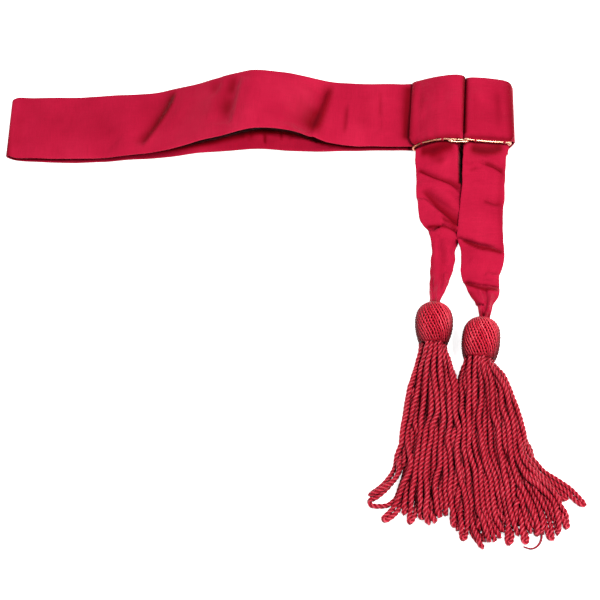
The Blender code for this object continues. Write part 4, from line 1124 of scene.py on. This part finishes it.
# --------------------------------------------------------------------- tails
def make_tail(name, table, fold, crease_table, tuck_table, pleat, seed, rolled=False):
    V = 46
    s = np.linspace(0, 1, V)
    line = spline(fold, 1.0)
    share = np.linspace(0, 1, len(line))
    bar = np.stack([np.interp(s, share, line[:, k]) for k in range(3)], axis=1)
    along = unit(bar[-1] - bar[0])
    reach = WIRE / 2 + TAIL_WALL / 2 + 0.35
    down = np.array([0.0, -0.88, -0.47])
    down = unit(down - along * (down @ along))
    out = np.cross(along, down)
    if out[2] < 0:
        out = -out
    rows = []
    for shift in (HEM_LEG, HEM_LEG / 2):
        rows.append(bar - out * reach + down * shift)
    for k in range(9):
        turn = math.pi * (1 - k / 8)
        rows.append(bar + out * reach * math.cos(turn) - down * reach * math.sin(turn))
    rows.append(bar + out * reach + down * 2.2)
    lifts = [0.0] * len(rows)
    first = len(rows)
    for r in table:
        rows.append(np.array(r[0:3])[None] * (1 - s)[:, None] + np.array(r[3:6])[None] * s[:, None])
        lifts.append(r[6])
    flat = np.array([np.append(row.ravel(), [lift, min(k, first)]) for k, (row, lift)
                     in enumerate(zip(rows, lifts))])
    at = 3 * (V // 2)
    flat = spline(flat, 1.1, lambda d: d[:, at:at + 3])
    dense = flat[:, -2:]
    centre = flat[:, :-2].reshape(len(flat), V, 3)
    if rolled:
        # the last columns go down and on under the other tail
        cut = 0.86
        row = np.arange(len(centre))
        begin = int(np.argmax(dense[:, 1] > first - 0.9))
        mid_y = centre[:, V // 2, 1]
        on = smoothstep((row - begin + 7) / 4.0) * smoothstep((mid_y - 108.0) / 12.0)
        plain = centre.copy()
        for i in np.where(on > 0)[0]:
            bent = np.stack([np.interp(np.minimum(s / cut, 1.0), s, plain[i, :, k])
                             for k in range(3)], axis=1)
            q = np.clip((s - cut) / (1 - cut), 0, 1)
            edge = plain[i, -1]
            bent[:, 0] += (157.6 - edge[0]) * np.clip(q * 1.15 - 0.15, 0, 1)
            bent[:, 2] += (1.6 - edge[2]) * smoothstep(q / 0.62) * (q > 0)
            bent[:, 2] = np.where(q > 0, np.maximum(bent[:, 2], 1.0), bent[:, 2])
            centre[i] = plain[i] * (1 - on[i]) + bent * on[i]
    body = dense[:, 0][:, None] * np.sin(math.pi * s)[None, :] ** 0.8
    x, y = centre[..., 0], centre[..., 1]
    ss = np.broadcast_to(s[None, :], x.shape)
    # nothing moves where the cloth goes round the bar
    start = int(np.argmax(dense[:, 1] > first - 0.6))
    free = smoothstep((np.arange(len(centre)) - start) / 7.0)[:, None] * np.ones(x.shape)
    rise = body.copy()
    rise += creases(centre, crease_table) * free
    rise += ripple(x, y, seed, ((34, 0.5), (15, 0.22), (7, 0.07))) * free
    if rolled:
        rise *= 1 - on[:, None] * smoothstep((ss - cut + 0.04) / 0.06)
    # pleats that gather the cloth into the head
    y0, y1, folds, size = pleat
    gather = smoothstep((y0 - y) / (y0 - y1))
    rise += gather * size * np.sin(math.pi * (2 * folds * ss + 0.35 * np.sin(y / 9.0))) \
        * np.sin(math.pi * ss) ** 0.5
    centre[..., 2] += rise
    centre += tucks(centre, tuck_table) * free[..., None]
    # edges wander a little
    wander = 0.5 * ripple(y, y * 0, seed + 4, ((26, 0.8), (11, 0.3)))
    centre[..., 0] += wander * (2 * ss - 1) * free
    floor = TAIL_WALL / 2 + 0.08
    z = centre[..., 2]
    k = 0.35
    centre[..., 2] = np.where(z > floor + 3, z, floor + k * np.log1p(np.exp(np.clip((z - floor) / k, -30, 30))))
    obj = slab(name + "_cloth", centre[:, ::-1], TAIL_WALL, SILK_TAIL)
    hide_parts(name)
    return obj


# --------------------------------------------------------------------- heads
def head_frame(head):
    """Rotation and middle of a tassel's head, resting on the surface."""
    x, y, turn, _ = head
    rot = np.array(Matrix.Rotation(math.radians(-turn), 3, "Z")
                   @ Matrix.Rotation(-math.radians(90 - HEAD_TILT), 3, "X"))
    a = np.radians(np.arange(0, 360, 2))
    low = min((rot @ np.array([r * HEAD_RADIUS * math.cos(t), r * HEAD_RADIUS * math.sin(t),
                               (0.5 - s) * HEAD_LENGTH]))[2]
              for s, r in HEAD_PROFILE for t in a)
    return rot, np.array([x, y, 0.05 - low])


def press(points, room):
    """The side that a head lies on is pressed flat on the surface."""
    z, soft = points[..., 2] - room, 0.35
    points[..., 2] = room + np.where(z > 30 * soft, z, soft * np.log1p(np.exp(np.clip(z / soft, -30, 30))))
    return points


def head_profile(head):
    rim = head[3]
    rows = [(s, 0.0, r + (rim - 0.75) * smoothstep((s - 0.45) / 0.55)) for s, r in HEAD_PROFILE]
    rows = spline(rows, 0.01, lambda d: d[:, [0, 2]])
    return rows[:, 0], rows[:, 2]


def shade_head(obj, points, head):
    """Marks how far each point is from the top of its head's round form, for painted shade on the sides of the head.
    """
    rot, mid = head_frame(head)
    out = (points - mid) @ rot / np.array([HEAD_RADIUS, HEAD_RADIUS, HEAD_LENGTH / 2]) ** 2
    up = (out @ rot.T)[:, 2] / np.maximum(np.linalg.norm(out, axis=1), 1e-9)
    layer = obj.data.attributes.new("head_shade", "FLOAT", "POINT")
    layer.data.foreach_set("value", (1 - smoothstep(up / 0.9)).astype(np.float32))


def make_head(name, head):
    rot, mid = head_frame(head)
    s, r = head_profile(head)
    z = (0.5 - s) * HEAD_LENGTH
    rad = r * HEAD_RADIUS
    l = np.concatenate([[0], np.cumsum(np.hypot(np.diff(z), np.diff(rad)))])
    inset = 1.25
    b = Builder()
    # core
    at = np.linspace(0, l[-1], 34)
    cz, cr = np.interp(at, l, z), np.maximum(np.interp(at, l, rad) - inset, 1.0)
    cz[0] -= 0.6
    n = 56
    a = np.arange(n) * math.tau / n
    extra_z = np.concatenate([[cz[0]], cz, [cz[-1] + 0.4, cz[-1] + 1.2]])
    extra_r = np.concatenate([[cr[0] * 0.4], cr, [cr[-1] * 0.92, cr[-1] * 0.4]])
    pts = np.stack([extra_r[:, None] * np.cos(a), extra_r[:, None] * np.sin(a),
                    np.repeat(extra_z[:, None], n, axis=1)], axis=2)
    pts = press(pts @ rot.T + mid, 1.3)
    rows = len(extra_z)
    weave = np.stack(np.meshgrid(np.arange(rows) * 1.5, np.arange(n + 1) / n, indexing="ij")[::-1], axis=2)
    bake = np.stack(np.meshgrid(np.linspace(0.0, 0.28, rows), np.arange(n + 1) / n, indexing="ij")[::-1], axis=2)
    base = b.grid(pts, weave, bake, wrap_v=True, flip=True)
    for r0, rev in ((0, False), (rows - 1, True)):
        ids = list(base + r0 * n + np.arange(n))
        if rev:
            ids = ids[::-1]
        b.polygon(ids, [weave[r0, 0]] * n, [bake[r0, 0]] * n)
    core = b.make(name + "_core", CORE_MAT)
    # net: two ways of threads, the thicker way on top
    b = Builder()
    cells = NET_CELLS
    total = l[-1]
    at = np.linspace(0.6, total, int(total / 1.15))
    pz, pr = np.interp(at, l, z), np.interp(at, l, rad)
    slope_z, slope_r = np.gradient(pz, at), np.gradient(pr, at)
    size = np.clip(pr / HEAD_RADIUS, 0.3, 1.0) ** 0.55
    rng = np.random.default_rng(17 + cells)
    sides = 8
    for way, thick, raise_ in ((1, 0.90, -0.45), (-1, 0.82, -0.90)):
        for k in range(cells):
            phase = rng.uniform(-0.12, 0.12)
            twist = way * math.pi / cells / NET_ROW
            theta = math.tau * (k + phase) / cells + twist * (at - total * 0.3) \
                + 0.018 * np.sin(at * 0.5 + rng.uniform(0, 6))
            knot = np.cos(math.tau * (at / NET_ROW) + (math.pi if k % 2 else 0))
            lift = raise_ + 0.16 * knot * way
            nr = -slope_z * way * 0 + 1.0
            rr = pr + lift * np.sqrt(np.clip(1 - slope_r ** 2, 0, 1))
            zz = pz + lift * slope_r * 0.7
            path = np.stack([rr * np.cos(theta), rr * np.sin(theta), zz], axis=1)
            path = press(path @ rot.T + mid, 0.55)
            row = (k + (0 if way > 0 else cells)) / (2 * cells)
            tube(b, path, thick * size * (1 + 0.15 * np.cos(math.tau * at / NET_ROW
                                                            + (math.pi if k % 2 else 0))),
                 sides=sides, bake_row=(row, row + 0.45 / cells))
    # finishing turns of thread at the rim and at the neck
    for s0, lift, thick in ((total - 0.2, -0.5, 0.8), (total - 1.5, -1.5, 0.7), (1.2, -0.5, 0.75), (2.4, -1.0, 0.7)):
        rr, zz = np.interp(s0, l, rad) + lift, np.interp(s0, l, z)
        t = np.arange(120) * math.tau / 120
        path = np.stack([(rr + 0.12 * np.cos(t * cells)) * np.cos(t),
                         (rr + 0.12 * np.cos(t * cells)) * np.sin(t),
                         zz + 0.35 * np.sin(t * cells / 2)], axis=1)
        tube(b, press(path @ rot.T + mid, 0.5), thick, sides=7, closed=True)
    net = b.make(name + "_net", NET_MAT)
    # painted shade on the sides of the head, read by the net's material
    shade_head(net, np.vstack(b.verts), head)
    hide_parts(name)
    return core, net


# --------------------------------------------------------------------- cords
def lay_cords(tables, heads, steps):
    """Settles the looped cords of both tassels on the surface and on each
    other. Returns one path for each loop, in mm."""
    spacing = 3.2
    chains = []
    for side, (table, head) in enumerate(zip(tables, heads)):
        plain = sorted((c for c in table if c[2] is None), key=lambda c: c[1][-1][0])
        hidden = []
        for k in range(1, len(plain) - 1, 2 if side == 0 else 3):
            one, two = (spline(np.array(c[1], float), 9.0) for c in plain[k:k + 2])
            low = max(one[-1, 1], two[-1, 1]) + 9.0
            at = np.linspace(one[0, 1], low, 12)
            hidden.append((0, [((np.interp(-q, -one[:, 1], one[:, 0]) + np.interp(-q, -two[:, 1], two[:, 0])) / 2, q)
                               for q in at], None))
        table = list(table) + hidden
        rot, mid = head_frame(head)
        down_axis = rot @ np.array([0, 0, -1.0])
        rim = mid + down_axis * (HEAD_LENGTH / 2 - 2.0)
        ex = rot @ np.array([1.0, 0, 0])
        ey = rot @ np.array([0, -1.0, 0])        # towards the sky
        rim_r = head[3] * HEAD_RADIUS - 1.6
        legs = 2 * len(table)
        spots = []
        pitch = 4.4
        while True:
            spots = []
            for i in range(-6, 7):
                for j in range(-6, 7):
                    px = (i + 0.5 * (j % 2)) * pitch
                    py = j * pitch * 0.866
                    if math.hypot(px, py) <= rim_r:
                        spots.append((px, py))
            if len(spots) >= legs:
                break
            pitch *= 0.975
        spots.sort(key=lambda p: (-round(p[1], 3), p[0]))
        spots.sort(key=lambda p: -p[1])
        top = [i for i, c in enumerate(table) if c[0] == 1]
        under = [i for i, c in enumerate(table) if c[0] == 0]
        lows = [("l", i) for i in range(len(table))]
        # each leg takes the free spot nearest to its side and its height:
        # the outer ones first, the top layer before what lies under it
        start_x = []
        for layer_, way_, back_ in table:
            w = spline(np.array(way_, float), 3.0)
            start_x.append(float(np.interp(w[0, 1] - 16.0 - w[0, 1], (w[:, 1] - w[0, 1])[::-1], w[:, 0][::-1])))
        x0, x1 = min(start_x), max(start_x)
        side_of = [((q - x0) / (x1 - x0) * 2 - 1) * rim_r * 0.98 for q in start_x]
        free_spots = list(spots)
        spot_of = {}
        for group, height in (([("u", i) for i in top], 1.0), ([("u", i) for i in under], 0.35),
                              (lows, -0.55)):
            for kind, i in sorted(group, key=lambda g: -abs(side_of[g[1]])):
                want_x = side_of[i]
                want_y = height * math.sqrt(max(rim_r ** 2 - want_x ** 2, 0.0))
                best = min(free_spots, key=lambda q: (q[0] - want_x) ** 2 + 0.7 * (q[1] - want_y) ** 2)
                free_spots.remove(best)
                spot_of[kind, i] = best
        for i, (layer, way, back) in enumerate(table):
            rng = np.random.default_rng(100 * side + i)
            way = spline(np.array(way, float), 9.0)
            sway = np.zeros(len(way))
            for wavelength, size in ((95, 1.5), (41, 0.9)):
                sway += size * np.sin(way[:, 1] * math.tau / (wavelength * rng.uniform(0.8, 1.25))
                                      + rng.uniform(0, math.tau))
            way[:, 0] += sway * smoothstep((way[0, 1] - 14 - way[:, 1]) / 40.0)

            def leg(points, spot, lift, pin_dir):
                root = rim + ex * spot[0] + ey * spot[1]
                out = root + down_axis * 7.0
                pts = [root, out]
                dense = spline(np.asarray(points, float), 6.0)
                for x, y in dense:
                    gone = out[1] - y
                    if gone < 7.0:
                        continue
                    straight = out + down_axis * gone
                    near = 1 - smoothstep((gone - 1.0) / 17.0)
                    f = smoothstep((gone - 2.0) / 70.0)
                    z = (1 - f) * out[2] + f * lift
                    pts.append(np.array([x + (straight[0] - x) * near, y, z]))
                return np.array(pts)

            lift = 12.5 if layer else 7.6
            up_leg = leg(way, spot_of["u", i], lift, None)
            if back is None:
                # straight down and back underneath
                heading = unit(way[-1] - way[-2])
                # the lower leg fills the gap on the inner side of the upper one
                inward = 3.3 if way[-1, 0] < (142.0 if side == 0 else 206.0) else -3.3
                side_way = np.array([-heading[1], heading[0]]) * inward
                apart = smoothstep((way[0, 1] - 12 - way[:, 1]) / 50.0)
                lower_way = way + side_way * (apart * (1.0 + 0.3 * np.sin(
                    way[:, 1] / rng.uniform(11, 17) + rng.uniform(0, 6))))[:, None]
                low_leg = leg(lower_way[:], spot_of["l", i], lift - CORD * 0.98, None)
                tip_up, tip_low = up_leg[-1], low_leg[-1]
                mid_tip = (tip_up + tip_low) / 2 + np.array([*heading, 0]) * 2.4
                q1 = tip_up * 0.72 + tip_low * 0.28 + np.array([*heading, 0]) * 1.7
                q3 = tip_up * 0.28 + tip_low * 0.72 + np.array([*heading, 0]) * 1.7
                path = np.vstack([up_leg, q1, mid_tip, q3, low_leg[::-1]])
                flat = False
            else:
                back = np.array(back, float)
                lower_way = np.vstack([way[way[:, 1] > back[-1, 1] + 14.0] + np.array([1.5, 0]), back[::-1]])
                low_leg = leg(lower_way, spot_of["l", i], max(lift - 2.0, 5.0), None)
                path = np.vstack([up_leg, low_leg[::-1]])
                flat = True
            smooth_path = spline(path, spacing)
            chains.append({"side": side, "layer": layer, "flat": flat, "points": smooth_path,
                           "turn": len(up_leg)})
    X = np.vstack([c["points"] for c in chains])
    index = np.concatenate([[k] * len(c["points"]) for k, c in enumerate(chains)])
    order_in = np.concatenate([np.arange(len(c["points"])) for c in chains])
    size = np.concatenate([[len(c["points"])] * len(c["points"]) for c in chains])
    N = len(X)
    inner = (order_in > 0) & (order_in < size - 1)
    a = np.where((order_in < size - 1))[0]
    b = a + 1
    rest = np.linalg.norm(X[a] - X[b], axis=1)
    two = np.where(inner)[0]
    pinned = (order_in < 3) | (order_in > size - 4)
    free = (~pinned).astype(float)
    target = X.copy()
    layer = np.concatenate([[c["layer"]] * len(c["points"]) for c in chains])
    flat = np.concatenate([[c["flat"]] * len(c["points"]) for c in chains])
    first_half = order_in < size / 2
    hold = np.where(first_half, np.where(layer == 1, 0.06, 0.035), 0.012)
    hold = np.where(flat, 0.06, hold)
    # cords are squeezed thinner where they leave the head
    root_y = np.where(np.concatenate([[c["side"]] * len(c["points"]) for c in chains]) == 0,
                      -54.0, -70.0)
    thin = 0.87 + 0.13 * smoothstep((root_y - X[:, 1]) / 36.0)
    diameter = CORD * 0.97 * thin
    # the sides of each skirt, above where it flares
    side_at = np.concatenate([[c["side"]] * len(c["points"]) for c in chains])
    least, most = np.full(N, -1e6), np.full(N, 1e6)
    for side, (table, head) in enumerate(zip(tables, heads)):
        mine = (side_at == side) & (X[:, 1] > -158.0)
        for column, bound, edge in ((0, least, -1.0), (-1, most, 1.0)):
            line = spline(np.array(table[column][1], float), 4.0)
            top = [head[0] + 1.5 + edge * (head[3] * HEAD_RADIUS - 2.2), line[0, 1] + 12.0]
            line = np.vstack([top, line])
            # the two skirts lean on each other between the heads
            inner = side == (0 if column else 1)
            loose = 4.5 * smoothstep((-78.0 - X[mine, 1]) / 22.0) if inner else 0.2
            bound[mine] = np.interp(-X[mine, 1], -line[:, 1], line[:, 0]) + edge * loose
    pairs = None
    for step in range(steps):
        if step % 8 == 0:
            tree = KDTree(N)
            for i, p in enumerate(X):
                tree.insert(p, i)
            tree.balance()
            found = []
            for i, p in enumerate(X):
                for _, j, _ in tree.find_range(p, CORD + 1.6):
                    if j > i and (index[i] != index[j] or abs(order_in[i] - order_in[j]) > 3):
                        found.append((i, j))
            pairs = np.array(found)
            pi, pj = pairs[:, 0], pairs[:, 1]
            want = (diameter[pi] + diameter[pj]) / 2
            # the legs of one loop may touch at its end
            same = index[pi] == index[pj]
            want = np.where(same & (np.abs(order_in[pi] - order_in[pj]) < 6), want * 0.8, want)
        cool = 1.0 - 0.6 * step / steps
        X[:, 2] -= 0.16 * free * cool
        X[:, :2] += (target[:, :2] - X[:, :2]) * (hold * free)[:, None]
        for _ in range(2):
            d = X[pj] - X[pi]
            dist = np.linalg.norm(d, axis=1)
            push = np.where(dist < want, (want - dist) * 0.42, 0.0)
            move = d / np.maximum(dist, 1e-6)[:, None] * push[:, None]
            for k in range(3):
                X[:, k] += free * (np.bincount(pj, move[:, k], N) - np.bincount(pi, move[:, k], N)) * 0.62
            d = X[b] - X[a]
            dist = np.linalg.norm(d, axis=1)
            move = d * ((dist - rest) / np.maximum(dist, 1e-6) * 0.42)[:, None]
            for k in range(3):
                X[:, k] += free * (np.bincount(a, move[:, k], N) - np.bincount(b, move[:, k], N))
            bend = (X[two - 1] + X[two + 1]) / 2 - X[two]
            X[two] += bend * (0.10 * free[two])[:, None]
            X[:, 2] = np.maximum(X[:, 2], diameter / 2 + 0.05)
            held = np.minimum(np.maximum(X[:, 0], least), most)
            X[:, 0] += (held - X[:, 0]) * 0.6 * free
    return [X[index == k] for k in range(len(chains))], [c["side"] for c in chains], \
        [thin[index == k] for k in range(len(chains))]


LOBE = (-60.0, -39.0, -19.0, 0.0, 19.0, 39.0)


def rope(b, path, thin, seed, bake_row):
    """A three-ply cord with a right-hand twist along the path."""
    rng = np.random.default_rng(seed)
    rows = np.column_stack([path, thin])
    dense = spline(rows, 1.15)
    path, thin = dense[:, :3], dense[:, 3]
    n, m = turning_frame(path)
    s = np.concatenate([[0], np.cumsum(np.linalg.norm(np.diff(path, axis=0), axis=1))])
    start = rng.uniform(0, math.tau)
    drift = 0.35 * np.sin(s / rng.uniform(28, 46) + rng.uniform(0, 6))
    spin = start + math.tau * s / (LEAD * rng.uniform(0.95, 1.05)) + drift
    lobe, turn = [], []
    for k in range(3):
        for deg in LOBE:
            phi = math.radians(deg)
            e, rho = 0.43, 0.57
            lobe.append(e * math.cos(phi) + math.sqrt(rho ** 2 - (e * math.sin(phi)) ** 2))
            turn.append(k / 3 + deg / 360.0)
    lobe, turn = np.array(lobe), np.array(turn)
    a = turn[None, :] * math.tau + spin[:, None]
    r = lobe[None, :] * (CORD / 2 * thin * (1 + 0.015 * np.sin(s / 3.1 + start)))[:, None]
    pts = path[:, None] + (n[:, None] * np.cos(a)[..., None] + m[:, None] * np.sin(a)[..., None]) * r[..., None]
    V = len(lobe)
    closed_turn = np.append(turn, turn[0] + 1.0)
    weave = np.stack(np.broadcast_arrays(closed_turn[None, :], s[:, None]), axis=2)
    v0, v1 = bake_row
    bake = np.stack(np.broadcast_arrays((s / s[-1])[:, None],
                                        (v0 + (v1 - v0) * (closed_turn - closed_turn[0]))[None, :]), axis=2)
    base = b.grid(pts, weave, bake, wrap_v=True)
    for r0, rev in ((0, True), (len(path) - 1, False)):
        ids = list(base + r0 * V + np.arange(V))
        if rev:
            ids = ids[::-1]
        b.polygon(ids, [weave[r0, 0]] * V, [bake[r0, 0]] * V)


def make_cords():
    steps = 260
    paths, sides, thins = lay_cords((CORDS_LEFT, CORDS_RIGHT), (HEAD_LEFT, HEAD_RIGHT), steps)
    made = []
    names = ("left", "right")
    for side in (0, 1):
        own = [k for k, s in enumerate(sides) if s == side]
        halves = (own[:len(own) // 2], own[len(own) // 2:])
        for part, group in enumerate(halves):
            b = Builder()
            for q, k in enumerate(group):
                rope(b, paths[k], thins[k], 40 + k, (q / len(group), (q + 0.96) / len(group)))
            obj = b.make(f"cords_{names[side]}_{part + 1}", CORD_MAT)
            made.append(obj)
        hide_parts("skirt_" + names[side])
    return made


def make_stray():
    """One loose yarn at the cords' ends."""
    way = [(213.0, -233.0, 4.0), (216.0, -240.6, 2.0), (216.2, -248.0, 1.4),
           (212.8, -254.6, 1.2), (206.8, -257.6, 1.1), (199.8, -255.4, 1.0)]
    rows = spline(way, 0.8)
    share = np.linspace(0, 1, len(rows))
    b = Builder()
    tube(b, rows, 1.3 - 0.5 * share ** 2, sides=8)
    obj = b.make("stray_yarn", YARN_MAT)
    return obj


# -------------------------------------------------------------------- making
band = make_band()
strap_left = make_strap("strap_left", STRAP_LEFT, 2, 3.4, 2.0)
strap_right = make_strap("strap_right", STRAP_RIGHT, 5, 2.0, 3.6)
tail_left = make_tail("tail_left", TAIL_LEFT, FOLD_LEFT,
                      LEFT_CREASES, LEFT_TUCKS, (34.0, -8.0, 2.0, 1.0), 11, rolled=True)
tail_right = make_tail("tail_right", TAIL_RIGHT, FOLD_RIGHT,
                       RIGHT_CREASES, RIGHT_TUCKS, (10.0, -24.0, 2.0, 1.1), 21)
ring_left = make_ring("ring_left_wire", RING_LEFT, 1, 1.1)
ring_right = make_ring("ring_right_wire", RING_RIGHT, 2, 1.15)
link = make_ring("link_wire", LINK, 3, 0.95)
for obj, name in ((ring_left, "ring_left"), (ring_right, "ring_right"), (link, "link")):
    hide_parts(name)

threads = Builder()
for q, (bars, share) in enumerate(((RING_LEFT, 0.20), (RING_LEFT, 0.80), (RING_RIGHT, 0.22),
                                   (RING_RIGHT, 0.90))):
    line = spline(bars[0], 0.5)
    k = int(share * (len(line) - 1))
    wrap_of_thread(threads, line[k], line[k + 1] - line[k - 1], 1.15, 2.5, 0.34,
                   (0.25 * q, 0.25 * q + 0.2))
stitches = threads.make("keeper_stitches", THREAD_MAT)

core_left, net_left = make_head("head_left", HEAD_LEFT)
core_right, net_right = make_head("head_right", HEAD_RIGHT)
cords = make_cords()
stray = make_stray()

# ------------------------------------------------------------ floor and light
bpy.ops.mesh.primitive_plane_add(size=6.0, location=(0.02, 0.0, -0.0002))
floor = bpy.context.object
floor.name = "floor"
mat, tree, shader = new_material("floor_white")
shader.inputs["Base Color"].default_value = (0.93, 0.93, 0.93, 1)
shader.inputs["Roughness"].default_value = 0.9
shader.inputs["Specular IOR Level"].default_value = 0.1
shader.inputs["Emission Color"].default_value = (1.0, 1.0, 1.0, 1)
shader.inputs["Emission Strength"].default_value = 0.76
floor.data.materials.append(mat)

scene = bpy.context.scene
world = bpy.data.worlds.new("studio")
scene.world = world
world.use_nodes = True
world.node_tree.nodes["Background"].inputs["Color"].default_value = (1.0, 0.99, 0.98, 1)
world.node_tree.nodes["Background"].inputs["Strength"].default_value = 0.48


def area_light(name, place, aim, size, power, colour=(1, 1, 1)):
    data = bpy.data.lights.new(name, "AREA")
    data.shape = "DISK"
    data.size = size
    data.energy = power
    data.color = colour
    obj = bpy.data.objects.new(name, data)
    scene.collection.objects.link(obj)
    obj.location = place
    obj.rotation_euler = (Vector(aim) - Vector(place)).to_track_quat("-Z", "Y").to_euler()
    return obj


area_light("key", (0.80, -0.50, 1.40), (0.05, 0.05, 0.0), 0.32, 30.0, (1.0, 0.985, 0.96))
area_light("fill", (-0.7, 0.6, 1.9), (0.08, 0.0, 0.0), 1.0, 16.0, (0.99, 0.99, 1.0))

# -------------------------------------------------------------------- camera
target = Vector((SHIFT[0] * MM, SHIFT[1] * MM, 0.0))
cam_data = bpy.data.cameras.new("camera")
cam_data.lens = 192.54
cam_data.sensor_width = 36.0
cam_data.sensor_fit = "HORIZONTAL"
cam_data.clip_end = 30.0
camera = bpy.data.objects.new("camera", cam_data)
scene.collection.objects.link(camera)
camera.location = target + Vector((0, -math.cos(ELEVATION), math.sin(ELEVATION))) * DISTANCE
camera.rotation_euler = (math.pi / 2 - ELEVATION, 0.0, 0.0)
scene.camera = camera
scene.view_settings.view_transform = "Standard"
